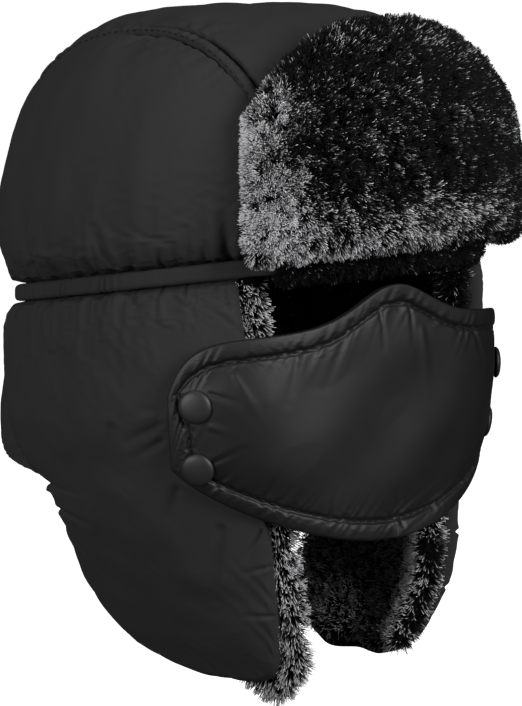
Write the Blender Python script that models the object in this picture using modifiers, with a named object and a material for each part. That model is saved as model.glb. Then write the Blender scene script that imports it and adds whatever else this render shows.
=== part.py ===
"""Padded winter trapper hat: fur lining, turned-up fur visor, ear flaps and a snap-on face mask.

Metres, +Z up. The hat faces -Y and the wearer's left is +X. The origin is the centre of the head
opening at the level of the headband, which rises towards the brow. Angles along a surface are
measured from the front, positive towards the wearer's left. Depths are measured down from the band.
"""
import math

import bmesh
import bpy
from mathutils import Quaternion, Vector
from mathutils.bvhtree import BVHTree

# Crown
CROWN_HALF_WIDTH = 0.1085
CROWN_FRONT = 0.106
CROWN_BACK = 0.128
CROWN_HEIGHT = 0.116
PLAN_FULLNESS = 2.15
SIDE_FULLNESS = 3.0
CROWN_TUCK = 0.007
TUCK_LENGTH = 0.009
SEAM_HALF_SPACING = 0.058
SEAM_CORNER_ANGLE = math.radians(38)
CROWN_PUFF = 0.003
CROWN_ROUNDING = 0.5
WELT_RADIUS = 0.0014

# Layers of cloth, wadding and fur
GAP = 0.0003
SHELL_THICKNESS = 0.0015
CROWN_WADDING = 0.005
SKIRT_WADDING = 0.004
FUR_THICKNESS = 0.011
FUR_CLEARANCE = 0.0009

# Headband
BAND_SLOPE = 0.165
BAND_HEIGHT = 0.008
BAND_THICKNESS = 0.0022
BAND_STAND = 0.0008
ELASTIC_THICKNESS = 0.001
ELASTIC_HEIGHT = 0.006
ELASTIC_ANGLE = math.radians(76)
GATHER_COUNT = 44
GATHER_DEPTH = 0.0009

# Ear flaps and neck panel, which hang from the band. The sweep gives places on a flap's lower edge
# behind its tip, in shares of the way to the neck seam and of the drop below the neck panel.
SKIRT_SWELL_SIDE = 0.0040
SKIRT_SWELL_BACK = 0.0080
SKIRT_DRAW_FRONT = 0.0030
SWELL_LENGTH = 0.007
TAPER_START = 0.055
TAPER_LENGTH = 0.125
TAPER_SIDE = 0.058
TAPER_FRONT = 0.002
TAPER_BACK = 0.012
TAPER_POWER = 1.5
SKIRT_FULLNESS = 2.2
SKIRT_PUFF = 0.003
SKIRT_ROUNDING = 0.8
FLAP_FRONT_TOP = math.radians(45.5)
FLAP_FRONT_LOW = math.radians(32.5)
FLAP_FRONT_DEPTH = 0.180
FLAP_TIP_ANGLE = math.radians(40)
FLAP_DEPTH = 0.190
NECK_SEAM_ANGLE = math.radians(140)
NECK_SEAM_LOW = math.radians(112)
NECK_SEAM_POWER = 3.0
NECK_SEAM_EASE = 0.05
NECK_DEPTH = 0.087
NECK_RISE = 0.015
NECK_RISE_POWER = 0.6
FLAP_HEEL_DEPTH = 0.1705
FLAP_REAR = ((0.0, 0.0), (-1.5, 0.13), (0.0, 0.31), (4.5, 0.56), (5.0, 0.83), (-1.0, 1.0))
FLAP_SWEEP = ((0.0, 1.0), (0.24, 0.90), (0.465, 0.83), (0.80, 0.44), (1.0, 0.0))
FUR_EDGE_FRONT = 0.014
FUR_EDGE_LOW = 0.006

# Visor, turned up against the crown
VISOR_END_ANGLE = math.radians(43.5)
VISOR_HEIGHT = 0.101
VISOR_CORNER_DROP = 0.046
VISOR_CORNER_POWER = 3.2
VISOR_SKIRT = 0.001
VISOR_LEAN = 0.0436
VISOR_LEAN_POWER = 2.7
VISOR_EDGE_SHARE = 0.25
VISOR_CLEARANCE = 0.0004
VISOR_SHELL = 0.0010
VISOR_INTERLINING = 0.0012
VISOR_FUR = 0.011
VISOR_ROUNDING = 0.3

# Face mask
MASK_TAB_ANGLE = math.radians(61)
MASK_NOSE_DEPTH = 0.010
MASK_NOSE_ANGLE = math.radians(17.5)
MASK_CHEEK_DEPTH = 0.027
MASK_TAB_TOP = 0.049
MASK_TAB_BOTTOM = 0.082
MASK_CHIN_DEPTH = 0.127
MASK_CORNER_POWER = 16
MASK_JAW_POWER = 1.9
MASK_JAW_SHARE = 0.92
MASK_SHELL = 0.0012
MASK_LINING = 0.0009
MASK_HEM_WIDTH = 0.009
MASK_HEM_THICKNESS = 0.0008
MASK_HEM_LIFT = 0.0006
MASK_PUFF = 0.002
MASK_ROUNDING = 0.8
MASK_FLATTENING = 0.009

# Snap fasteners
SNAP_ANGLE = math.radians(54.5)
SNAP_UPPER_DEPTH = 0.053
SNAP_SPACING = 0.0265
CAP_RADIUS = 0.0075
CAP_HEIGHT = 0.0024
CAP_RIM = 0.0009
FLANGE_RADIUS = 0.0055
FLANGE_THICKNESS = 0.0008
KNOB_RADIUS = 0.0022
KNOB_HEIGHT = 0.0010
SOCKET_RADIUS = 0.0060
SOCKET_HEIGHT = 0.0024
SOCKET_CLEARANCE = 0.0007
SEAT_CLEARANCE = 0.0006
BARREL_RADIUS = 0.0016

# Facets: columns and rows of each kind of piece, and steps of a turned one
CROWN_TOP_GRID = (8, 26)
CROWN_SIDE_GRID = (14, 9)
BOWL_GRID = (28, 8)
WELT_STEPS = 36
BAND_STEPS = 28
FLAP_GRID = (12, 12)
NECK_GRID = (10, 6)
VISOR_GRID = (16, 9)
MASK_GRID = (22, 8)
TURN_STEPS = 16
FINE_STEP = 0.002

# Sizes that follow from those above
MASK_STAND = SKIRT_PUFF / 2 + FLANGE_THICKNESS + SOCKET_HEIGHT + 2 * GAP + SEAT_CLEARANCE
WELT_STAND = WELT_RADIUS + 2 * GAP
VISOR_STAND = max(CROWN_PUFF, WELT_STAND + WELT_RADIUS) + VISOR_CLEARANCE
SIDES = (("right", -1), ("left", 1))
LEVELS = (("upper", SNAP_UPPER_DEPTH), ("lower", SNAP_UPPER_DEPTH + SNAP_SPACING))


def clear_scene():
    for item in list(bpy.data.objects):
        bpy.data.objects.remove(item, do_unlink=True)


def make_collection(name):
    group = bpy.data.collections.new(name)
    bpy.context.scene.collection.children.link(group)
    return group


def make_material(name, colour, roughness, metallic=0.0):
    material = bpy.data.materials.new(name)
    material.use_nodes = True
    shader = material.node_tree.nodes["Principled BSDF"]
    shader.inputs["Base Color"].default_value = (*colour, 1.0)
    shader.inputs["Roughness"].default_value = roughness
    shader.inputs["Metallic"].default_value = metallic
    material.diffuse_color = (*colour, 1.0)
    return material


clear_scene()
PARTS = make_collection("trapper_hat")
CUTTERS = make_collection("cutters")
NYLON = ((0.018, 0.018, 0.020), 0.45)
FUR = ((0.020, 0.020, 0.021), 0.85)
WADDING = ((0.75, 0.75, 0.74), 0.95)
ELASTIC = ((0.030, 0.030, 0.032), 0.80)
MASK_CLOTH = ((0.022, 0.022, 0.024), 0.50)
CAP_PAINT = ((0.045, 0.045, 0.048), 0.35)
METAL = ((0.35, 0.35, 0.36), 0.30, 1.0)


def add_object(name, mesh, look, collection=PARTS):
    item = bpy.data.objects.new(name, mesh)
    collection.objects.link(item)
    mesh.materials.append(make_material(name, *look))
    return item


# Surfaces that the pieces follow


def blend(a, b, share):
    return a + (b - a) * share


def smooth_curve(points, share):
    """Point of a smooth curve through a few two-number points, share running from 0 to 1."""
    place = min(share, 0.999999) * (len(points) - 1)
    i = int(place)
    t = place - i
    p1, p2 = Vector(points[i]), Vector(points[i + 1])
    p0 = Vector(points[i - 1]) if i else p1 * 2 - p2
    p3 = Vector(points[i + 2]) if i + 2 < len(points) else p2 * 2 - p1
    bend = (p0 * 2 - p1 * 5 + p2 * 4 - p3) * t * t + (p1 * 3 - p0 - p2 * 3 + p3) * t ** 3
    return (p1 * 2 + (p2 - p0) * t + bend) / 2


def coons(bottom, top, first, last, u, v):
    """Fill four boundary curves that meet at their corners."""
    ruled = blend(bottom(u), top(u), v) + blend(first(v), last(v), u)
    corners = blend(blend(bottom(0), bottom(1), u), blend(top(0), top(1), u), v)
    return ruled - corners


def band_rise(y):
    return -BAND_SLOPE * y


def plan_radius(angle, side, front, back, fullness):
    s, c = math.sin(angle), math.cos(angle)
    reach = front if c > 0 else back
    return (abs(s / side) ** fullness + abs(c / reach) ** fullness) ** (-1 / fullness)


def dome(direction, stand, tuck=CROWN_TUCK):
    """Crown surface in a direction given in shares of its half-sizes, moved outwards by stand."""
    n, p = PLAN_FULLNESS, SIDE_FULLNESS
    x, y, z = direction
    size = ((abs(x) ** n + abs(y) ** n) ** (p / n) + abs(z) ** p) ** (1 / p)
    x, y, z = x / size, y / size, z / size
    reach = CROWN_FRONT if y < 0 else CROWN_BACK
    weight = (abs(x) ** n + abs(y) ** n) ** (p / n - 1)
    normal = Vector((
        math.copysign(weight * abs(x) ** (n - 1), x) / CROWN_HALF_WIDTH,
        math.copysign(weight * abs(y) ** (n - 1), y) / reach,
        math.copysign(abs(z) ** (p - 1), z) / CROWN_HEIGHT,
    )).normalized()
    point = Vector((x * CROWN_HALF_WIDTH, y * reach, z * CROWN_HEIGHT))
    point += normal * (stand - tuck * math.exp(-abs(z) * CROWN_HEIGHT / TUCK_LENGTH))
    point.z += band_rise(point.y) * (1 - abs(z)) + BAND_HEIGHT / 2 + GAP
    return point


def ring_direction(angle, rise):
    flat = math.cos(rise)
    return Vector((flat * math.sin(angle), -flat * math.cos(angle), math.sin(rise)))


def band_point(angle, stand, height):
    """Headband surface: the drawn-in foot of the crown, height measured from the band's middle."""
    side = CROWN_HALF_WIDTH - CROWN_TUCK + stand
    front = CROWN_FRONT - CROWN_TUCK + stand
    back = CROWN_BACK - CROWN_TUCK + stand
    r = plan_radius(angle, side, front, back, PLAN_FULLNESS)
    y = -r * math.cos(angle)
    return Vector((r * math.sin(angle), y, band_rise(y) + height))


def skirt_plan(angle, depth):
    """Plan of the flaps' and neck panel's outer face at a depth below the band, before it puffs."""
    swell = 1 - math.exp(-max(depth, 0) / SWELL_LENGTH)
    taper = (max(depth - TAPER_START, 0) / TAPER_LENGTH) ** TAPER_POWER
    side = CROWN_HALF_WIDTH - CROWN_TUCK + SKIRT_SWELL_SIDE * swell - TAPER_SIDE * taper
    front = CROWN_FRONT - CROWN_TUCK - SKIRT_DRAW_FRONT * swell - TAPER_FRONT * taper
    back = CROWN_BACK - CROWN_TUCK + SKIRT_SWELL_BACK * swell - TAPER_BACK * taper
    r = plan_radius(angle, side, front, back, SKIRT_FULLNESS)
    return Vector((r * math.sin(angle), -r * math.cos(angle)))


def skirt(angle, depth, stand):
    """Point of the skirt moved level outwards by stand, its depth kept below the sloping band."""
    along = skirt_plan(angle + FINE_STEP, depth) - skirt_plan(angle - FINE_STEP, depth)
    outwards = Vector((along.y, -along.x)).normalized()
    x, y = skirt_plan(angle, depth) + outwards * stand
    return Vector((x, y, band_rise(y) - BAND_HEIGHT / 2 - GAP - depth))


def skirt_normal(angle, depth):
    across = skirt(angle + FINE_STEP, depth, 0) - skirt(angle - FINE_STEP, depth, 0)
    down = skirt(angle, depth + FINE_STEP, 0) - skirt(angle, depth - FINE_STEP, 0)
    return down.cross(across).normalized()


# Solids


def close_mesh(name, mesh_data, look):
    bmesh.ops.recalc_face_normals(mesh_data, faces=mesh_data.faces)
    mesh = bpy.data.meshes.new(name)
    mesh_data.to_mesh(mesh)
    mesh_data.free()
    mesh.shade_smooth()
    mesh.set_sharp_from_angle(angle=math.radians(50))
    return add_object(name, mesh, look)


def layer(name, point, grid, look, roll=0.0, rolled=(), wraps=False):
    """Loft between two skins: point(u, v, side) gives the outer (side 1) and inner (side 0) skin.

    Rolled names the edges (start and end of u, top and low of v) whose rim stands out by roll, so
    that thick fur ends in a rounded edge.
    """
    build = bmesh.new()
    columns, rows = grid
    wide = columns if wraps else columns + 1

    def skin(side):
        return [[build.verts.new(point(i / columns, j / rows, side)) for i in range(wide)]
                for j in range(rows + 1)]

    outer, inner = skin(1), skin(0)
    for face in (outer, inner):
        for j in range(rows):
            for i in range(columns):
                k = (i + 1) % wide
                build.faces.new((face[j][i], face[j][k], face[j + 1][k], face[j + 1][i]))

    def rim_line(j, i):
        """Vertices from the outer to the inner skin at one place of the rim."""
        a, b = outer[j][i], inner[j][i]
        edges = {"top": j == 0, "low": j == rows, "start": i == 0, "end": i == columns}
        if not roll:
            return a, b
        here = [name in rolled for name, on in edges.items() if on]
        row, column = min(max(j, 1), rows - 1), min(max(i, 1), columns - 1)
        away = (a.co + b.co - outer[row][column].co - inner[row][column].co).normalized()
        return a, build.verts.new((a.co + b.co) / 2 + away * (roll if all(here) else 0.0)), b

    def rim(places):
        lines = [rim_line(j, i) for j, i in places]
        for one, two in zip(lines, lines[1:] + lines[:1]):
            for k in range(len(one) - 1):
                build.faces.new((one[k], one[k + 1], two[k + 1], two[k]))

    if wraps:
        rim([(0, i) for i in range(wide)])
        rim([(rows, i) for i in range(wide)])
    else:
        walk = [(0, i) for i in range(columns)] + [(j, columns) for j in range(rows)]
        walk += [(rows, i) for i in range(columns, 0, -1)] + [(j, 0) for j in range(rows, 0, -1)]
        rim(walk)
    return close_mesh(name, build, look)


def turned(name, profile, look, centre, axis):
    """Turned piece: profile of (radius, height) from the top centre to the bottom centre."""
    mesh = bpy.data.meshes.new(name)
    mesh.from_pydata([(r, 0, z) for r, z in profile], [(i, i + 1) for i in range(len(profile) - 1)], [])
    item = add_object(name, mesh, look)
    screw = item.modifiers.new("turn", "SCREW")
    screw.steps = TURN_STEPS
    screw.render_steps = TURN_STEPS
    screw.use_merge_vertices = True
    screw.merge_threshold = 0.00001
    screw.use_smooth_shade = True
    item.location = centre
    item.rotation_mode = "QUATERNION"
    item.rotation_quaternion = axis.to_track_quat("Z", "Y")
    return item


def bore(item, centre, axis, radius, length):
    """Cut a round hole through a piece along a snap's axis."""
    bpy.ops.mesh.primitive_cylinder_add(vertices=TURN_STEPS, radius=radius, depth=length)
    cutter = bpy.context.object
    cutter.name = item.name + "_bore"
    for group in list(cutter.users_collection):
        group.objects.unlink(cutter)
    CUTTERS.objects.link(cutter)
    cutter.location = centre
    cutter.rotation_mode = "QUATERNION"
    cutter.rotation_quaternion = axis.to_track_quat("Z", "Y")
    cutter.hide_render = True
    cutter.display_type = "WIRE"
    cut = item.modifiers.new("bore", "BOOLEAN")
    cut.operation = "DIFFERENCE"
    cut.object = cutter


def pillow(u, v, power):
    """Swell of a sewn panel: nothing at its seams and full in its middle."""
    return max(16 * u * (1 - u) * v * (1 - v), 0) ** power


# Crown


def seam_direction(rise, side, spacing):
    x = spacing / CROWN_HALF_WIDTH
    depth = (1 - x ** PLAN_FULLNESS) ** (1 / PLAN_FULLNESS)
    return Vector((side * x, -depth * math.cos(rise), depth * math.sin(rise)))


def crown_top_panel():
    spacing = SEAM_HALF_SPACING - GAP / 2

    def point(u, v, side):
        x = (2 * u - 1) * spacing
        direction = seam_direction(math.pi * v, math.copysign(1, x), abs(x))
        return dome(direction, CROWN_PUFF * pillow(u, v, CROWN_ROUNDING) - (1 - side) * SHELL_THICKNESS)

    layer("crown_top_panel", point, CROWN_TOP_GRID, NYLON)


def crown_side_panel(name, side):
    spacing = SEAM_HALF_SPACING + GAP / 2
    start = seam_direction(0, 1, spacing)
    foot = math.atan2(start.x, -start.y)

    def bottom(u):
        return ring_direction(side * blend(foot, math.pi - foot, u), 0)

    def seam(rise):
        return seam_direction(rise, side, spacing).normalized()

    def top(u):
        return seam(blend(SEAM_CORNER_ANGLE, math.pi - SEAM_CORNER_ANGLE, u))

    def front(v):
        return seam(SEAM_CORNER_ANGLE * v)

    def back(v):
        return seam(math.pi - SEAM_CORNER_ANGLE * v)

    def point(u, v, outer):
        direction = coons(bottom, top, front, back, u, v)
        return dome(direction, CROWN_PUFF * pillow(u, v, CROWN_ROUNDING) - (1 - outer) * SHELL_THICKNESS)

    layer("crown_side_panel_" + name, point, CROWN_SIDE_GRID, NYLON)


def crown_welt(name, side):
    """Raised felled seam between the top and a side panel."""
    curve = bpy.data.curves.new("crown_welt_" + name, "CURVE")
    curve.dimensions = "3D"
    curve.bevel_depth = WELT_RADIUS
    curve.bevel_resolution = 1
    curve.use_fill_caps = True
    line = curve.splines.new("POLY")
    line.points.add(WELT_STEPS)
    for i in range(WELT_STEPS + 1):
        direction = seam_direction(math.pi * i / WELT_STEPS, side, SEAM_HALF_SPACING)
        line.points[i].co = (*dome(direction, WELT_STAND), 1.0)
    item = bpy.data.objects.new(curve.name, curve)
    PARTS.objects.link(item)
    curve.materials.append(make_material(curve.name, *NYLON))


def crown_bowl(name, out_depth, thickness, reach_below, look):
    """One-piece layer under the crown panels, open at the head and closed at the top."""
    columns, rows = BOWL_GRID
    build = bmesh.new()

    def skin(depth):
        rings = []
        for j in range(-1 if reach_below else 0, rows):
            rise = math.pi / 2 * max(j, 0) / rows
            ring = []
            for i in range(columns):
                spot = dome(ring_direction(2 * math.pi * i / columns, rise), -depth)
                spot.z -= reach_below if j < 0 else 0
                ring.append(build.verts.new(spot))
            rings.append(ring)
        return rings, build.verts.new(dome(Vector((0, 0, 1)), -depth))

    (outer, outer_top), (inner, inner_top) = skin(out_depth), skin(out_depth + thickness)
    for rings, pole in ((outer, outer_top), (inner, inner_top)):
        for i in range(columns):
            k = (i + 1) % columns
            for low, high in zip(rings, rings[1:]):
                build.faces.new((low[i], low[k], high[k], high[i]))
            build.faces.new((rings[-1][i], rings[-1][k], pole))
    for i in range(columns):
        k = (i + 1) % columns
        build.faces.new((outer[0][i], outer[0][k], inner[0][k], inner[0][i]))
    close_mesh(name, build, look)


def make_crown():
    crown_top_panel()
    for name, side in SIDES:
        crown_side_panel(name, side)
        crown_welt(name, side)
    wadding = SHELL_THICKNESS + GAP
    crown_bowl("crown_wadding", wadding, CROWN_WADDING, 0, WADDING)
    lining = wadding + CROWN_WADDING + GAP
    crown_bowl("crown_fur_lining", lining, FUR_THICKNESS, BAND_HEIGHT, FUR)


# Headband


def band_arc(name, start, end, columns, out_stand, thickness, height, look, ripple=0.0):
    def point(u, v, side):
        angle = blend(start, end, u)
        gather = ripple * math.cos(2 * math.pi * GATHER_COUNT * u)
        stand = out_stand + gather if side else out_stand - thickness
        return band_point(angle, stand, height * (v - 0.5))

    layer(name, point, (columns, 1), look)


def make_headband():
    joint = GAP / CROWN_HALF_WIDTH
    behind = 2 * math.pi - ELASTIC_ANGLE
    band_arc("headband", -ELASTIC_ANGLE + joint, ELASTIC_ANGLE - joint, BAND_STEPS, BAND_STAND,
             BAND_THICKNESS, BAND_HEIGHT, NYLON)
    band_arc("elastic_casing", ELASTIC_ANGLE, behind, GATHER_COUNT * 2, BAND_STAND, BAND_THICKNESS,
             BAND_HEIGHT, NYLON, GATHER_DEPTH)
    band_arc("back_elastic", ELASTIC_ANGLE, behind, BAND_STEPS, BAND_STAND - BAND_THICKNESS - GAP,
             ELASTIC_THICKNESS, ELASTIC_HEIGHT, ELASTIC)


# Ear flaps and neck panel


def seam_angle(share):
    """Angle of the seam between a flap and the neck panel, at a share of the panel's depth."""
    return blend(NECK_SEAM_ANGLE, NECK_SEAM_LOW, share ** NECK_SEAM_POWER)


def flap_rear(share):
    """Rear edge of a flap, down the neck seam and then free to the heel: angle, depth."""
    seam = NECK_GRID[1] / FLAP_GRID[1]
    if share <= seam:
        return Vector((seam_angle(share / seam), NECK_DEPTH * share / seam))
    rear = [(NECK_SEAM_LOW + math.radians(turn), blend(NECK_DEPTH, FLAP_HEEL_DEPTH, drop))
            for turn, drop in FLAP_REAR]
    return smooth_curve(rear, (share - seam) / (1 - seam))


def flap_edge(share):
    """Bottom edge of a flap from its front corner round the tip to the heel: angle, depth."""
    turn = FLAP_TIP_ANGLE - FLAP_FRONT_LOW
    corner = (FLAP_FRONT_LOW, FLAP_FRONT_DEPTH)
    bend = (FLAP_FRONT_LOW + 0.2 * turn, blend(FLAP_FRONT_DEPTH, FLAP_DEPTH, 0.7))
    sweep = flap_rear(1)[0] - FLAP_TIP_ANGLE
    rear = [(FLAP_TIP_ANGLE + sweep * a, blend(FLAP_HEEL_DEPTH, FLAP_DEPTH, d)) for a, d in FLAP_SWEEP]
    return smooth_curve([corner, bend] + rear, share)


def seam_inset(thickness):
    """Turn by which a layer stays clear of the neck seam: thicker layers stand off further."""
    return (GAP / 2 + NECK_SEAM_EASE * thickness) / CROWN_BACK


def flap_place(u, v, thickness, front_extra, low_extra):
    """Angle and depth on a flap, u from its front edge to its rear one and v from the band down.

    The extras let the fur stand past the shell at the front edge and round the tip.
    """
    inset = Vector((seam_inset(thickness), 0))

    def top(s):
        return Vector((blend(FLAP_FRONT_TOP - front_extra, NECK_SEAM_ANGLE, s), 0)) - inset * s

    def low(s):
        fade = max(1 - 2 * s, 0) ** 2
        return flap_edge(s) + Vector((-front_extra * fade, low_extra * fade)) - inset * s

    def front(s):
        return blend(top(0), low(0), s)

    def back(s):
        return flap_rear(s) - inset

    return coons(top, low, front, back, u, v)


def flap_layer(name, side, out_depth, thickness, puffs, edges, look, roll=0.0):
    """One layer of a flap: puffs says how far the inner and outer skins follow the padding."""
    front_extra, low_extra = edges[0] / CROWN_FRONT, edges[1]

    def point(u, v, outer):
        angle, depth = flap_place(u, v, thickness, front_extra, low_extra)
        swell = SKIRT_PUFF * pillow(u, v, SKIRT_ROUNDING) * puffs[outer]
        return skirt(side * angle, depth, swell - out_depth - (1 - outer) * thickness)

    return layer(name, point, FLAP_GRID, look, roll, ("start", "low"))


def neck_layer(name, out_depth, thickness, puffs, edges, look, roll=0.0):
    """One layer of the neck panel, which has no edges past its shell."""

    def point(u, v, outer):
        side = seam_angle(v) + seam_inset(thickness)
        angle = blend(side, 2 * math.pi - side, u)
        swell = SKIRT_PUFF * pillow(u, v, SKIRT_ROUNDING) * puffs[outer]
        depth = NECK_DEPTH - NECK_RISE * (4 * u * (1 - u)) ** NECK_RISE_POWER
        return skirt(angle, v * depth, swell - out_depth - (1 - outer) * thickness)

    return layer(name, point, NECK_GRID, look, roll, ("low",))


def make_skirt():
    """Three layers for each flap and for the neck: shell, wadding that fills the puff, and fur."""
    plain = (0.0, 0.0)
    shell = (0.0, SHELL_THICKNESS, (1, 1), plain, NYLON)
    wadding = (SHELL_THICKNESS + GAP, SKIRT_WADDING, (0, 1), plain, WADDING)
    fur_depth = wadding[0] + SKIRT_WADDING + FUR_CLEARANCE
    fur = (fur_depth, FUR_THICKNESS, (0, 0), (FUR_EDGE_FRONT, FUR_EDGE_LOW), FUR, FUR_THICKNESS / 3)
    pieces = {}
    for name, side in SIDES:
        pieces["shell", side] = flap_layer("ear_flap_shell_" + name, side, *shell)
        pieces["wadding", side] = flap_layer("ear_flap_wadding_" + name, side, *wadding)
        flap_layer("ear_flap_fur_" + name, side, *fur)
    neck_layer("neck_panel", *shell)
    neck_layer("neck_wadding", *wadding)
    neck_layer("neck_fur_lining", *fur)
    return pieces


# Visor


def visor_place(angle, height, stand):
    """Point of the turned-up visor, which leans back over the crown as it rises."""
    lean = VISOR_LEAN * (max(height, 0) / CROWN_HEIGHT) ** VISOR_LEAN_POWER
    side, front = CROWN_HALF_WIDTH + stand - lean, CROWN_FRONT + stand - lean
    r = plan_radius(angle, side, front, front, PLAN_FULLNESS)
    y = -r * math.cos(angle)
    return Vector((r * math.sin(angle), y, band_rise(y) + BAND_HEIGHT / 2 + GAP + height))


def visor_layer(name, in_stand, thickness, edge_share, look, pivot, roll=0.0):
    """One layer of the visor, which thins to a share of its thickness at the edges."""
    def point(u, v, outer):
        angle = blend(-VISOR_END_ANGLE, VISOR_END_ANGLE, u)
        corner = abs(angle / VISOR_END_ANGLE) ** VISOR_CORNER_POWER
        height = blend(-VISOR_SKIRT, VISOR_HEIGHT - VISOR_CORNER_DROP * corner, v)
        depth = thickness * blend(edge_share, 1, pillow(u, v, VISOR_ROUNDING))
        return visor_place(angle, height, in_stand + outer * depth) - pivot.location

    item = layer(name, point, VISOR_GRID, look, roll, ("start", "end", "top", "low"))
    item.parent = pivot


def make_visor():
    pivot = bpy.data.objects.new("visor_pivot", None)
    pivot.location = visor_place(0, 0, VISOR_STAND)
    PARTS.objects.link(pivot)
    visor_layer("visor_shell", VISOR_STAND, VISOR_SHELL, 1, NYLON, pivot)
    stiffener = VISOR_STAND + VISOR_SHELL + GAP
    visor_layer("visor_interlining", stiffener, VISOR_INTERLINING, 1, WADDING, pivot)
    pile = stiffener + VISOR_INTERLINING + GAP
    visor_layer("visor_fur", pile, VISOR_FUR, VISOR_EDGE_SHARE, FUR, pivot, VISOR_FUR / 4)


# Face mask


def mask_place(u, v):
    """Angle and depth on the mask, u from the right tab to the left one and v from its top down."""
    across = 2 * u - 1
    angle = across * MASK_TAB_ANGLE
    bend = abs(across)
    nose = math.exp(-(angle / MASK_NOSE_ANGLE) ** 2)
    corner = bend ** MASK_CORNER_POWER
    top = MASK_CHEEK_DEPTH - (MASK_CHEEK_DEPTH - MASK_NOSE_DEPTH) * nose
    top += (MASK_TAB_TOP - MASK_CHEEK_DEPTH) * corner
    jaw = MASK_JAW_SHARE * bend ** MASK_JAW_POWER + (1 - MASK_JAW_SHARE) * corner
    low = blend(MASK_CHIN_DEPTH, MASK_TAB_BOTTOM, jaw)
    return Vector((angle, blend(top, low, v)))


def mask_point(u, v, stand):
    angle, depth = mask_place(u, v)
    flat = MASK_FLATTENING * max(1 - (angle / FLAP_FRONT_TOP) ** 2, 0) ** 2
    return skirt(angle, depth, MASK_STAND + MASK_PUFF * pillow(u, v, MASK_ROUNDING) - flat + stand)


def mask_hem():
    """Turned edge: a flat strip round the outline, closed on itself."""
    columns, rows = MASK_GRID
    half_length = MASK_TAB_ANGLE * CROWN_HALF_WIDTH
    inset = MASK_HEM_WIDTH / (2 * half_length)
    seat = MASK_LINING + MASK_SHELL + GAP + MASK_HEM_LIFT
    walk = [(i / columns, 0.0) for i in range(columns)] + [(1.0, j / rows) for j in range(rows)]
    walk += [(1 - i / columns, 1.0) for i in range(columns)] + [(0.0, 1 - j / rows) for j in range(rows)]

    def point(u, v, outer):
        s, t = walk[round(u * len(walk)) % len(walk)]
        height = mask_place(s, 1)[1] - mask_place(s, 0)[1]
        margin = MASK_HEM_WIDTH / height
        s = blend(s, blend(inset, 1 - inset, s), v)
        t = blend(t, blend(margin, 1 - margin, t), v)
        return mask_point(s, t, seat + outer * MASK_HEM_THICKNESS)

    return layer("mask_hem", point, (len(walk), 1), MASK_CLOTH, wraps=True)


def make_mask():
    def lining(u, v, outer):
        return mask_point(u, v, outer * MASK_LINING)

    def shell(u, v, outer):
        return mask_point(u, v, MASK_LINING + GAP + outer * MASK_SHELL)

    return (layer("mask_lining", lining, MASK_GRID, FUR),
            layer("mask_shell", shell, MASK_GRID, MASK_CLOTH),
            mask_hem())


# Snap fasteners


def facets(item):
    """Faces of a piece in a form that lines can be cast at."""
    mesh = item.data
    return BVHTree.FromPolygons([v.co for v in mesh.vertices], [f.vertices for f in mesh.polygons])


def hit(tree, start, direction):
    """First place and facing of a piece along a line, or nothing."""
    place, normal, _, _ = tree.ray_cast(start, direction)
    return place, normal


def free_run(trees, start, direction, radius):
    """How far a disc moves from its start along a line before it touches one of the pieces."""
    spoke = direction.orthogonal().normalized() * radius
    turns = [Quaternion(direction, math.pi * i / TURN_STEPS) @ spoke for i in range(2 * TURN_STEPS)]
    runs = []
    for tree in trees:
        for offset in [turn * share for turn in turns for share in (1, 0.8, 0.6)]:
            place = hit(tree, start + offset, direction)[0]
            if place is not None:
                runs.append((place - start).dot(direction))
    return min(runs)


def snap_line(side, depth, flap, lining, shell, hem):
    """Foot on the flap's face, outward axis, and the heights that the snap's pieces rest at.

    The heights are those of the post behind the flap, the mask's inner face and the cap's seat.
    """
    angle = side * SNAP_ANGLE
    far = 10 * MASK_STAND
    aim = skirt_normal(angle, depth)
    foot, axis = hit(flap, skirt(angle, depth, 0) + aim * far, -aim)
    back = free_run((flap,), foot - axis * far, axis, FLANGE_RADIUS) - far - GAP
    inner = free_run((lining,), foot, axis, SOCKET_RADIUS) - GAP
    seat = far - free_run((shell, hem), foot + axis * far, -axis, CAP_RADIUS) + GAP
    return foot, axis, back, inner, seat


def make_snap(tag, foot, axis, back, inner, seat):
    """Four pieces in line: post behind the flap, stud on it, socket and cap on the mask."""
    socket_foot = FLANGE_THICKNESS + 2 * GAP
    cap = [(0.0, seat + CAP_HEIGHT), (CAP_RADIUS * 0.45, seat + CAP_HEIGHT * 0.95),
           (CAP_RADIUS * 0.80, seat + CAP_HEIGHT * 0.75), (CAP_RADIUS, seat + CAP_RIM),
           (CAP_RADIUS, seat), (BARREL_RADIUS, seat), (BARREL_RADIUS, inner + GAP),
           (0.0, inner + GAP)]
    turned("snap_cap_" + tag, cap, CAP_PAINT, foot, axis)
    mouth = KNOB_RADIUS + SOCKET_CLEARANCE
    knob_top = GAP + FLANGE_THICKNESS + KNOB_HEIGHT
    roof = knob_top + SOCKET_CLEARANCE
    socket = [(0.0, inner), (SOCKET_RADIUS, inner), (SOCKET_RADIUS, socket_foot),
              (mouth, socket_foot), (mouth, roof), (0.0, roof)]
    turned("snap_socket_" + tag, socket, METAL, foot, axis)
    stud = [(0.0, knob_top), (KNOB_RADIUS * 0.8, knob_top), (KNOB_RADIUS, knob_top - KNOB_HEIGHT * 0.3),
            (KNOB_RADIUS * 0.85, GAP + FLANGE_THICKNESS), (FLANGE_RADIUS, GAP + FLANGE_THICKNESS * 0.7),
            (FLANGE_RADIUS, GAP), (0.0, GAP)]
    turned("snap_stud_" + tag, stud, METAL, foot, axis)
    post = [(0.0, 0.0), (BARREL_RADIUS, 0.0), (BARREL_RADIUS, back), (FLANGE_RADIUS, back),
            (FLANGE_RADIUS, back - FLANGE_THICKNESS), (0.0, back - FLANGE_THICKNESS)]
    turned("snap_post_" + tag, post, METAL, foot, axis)


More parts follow.
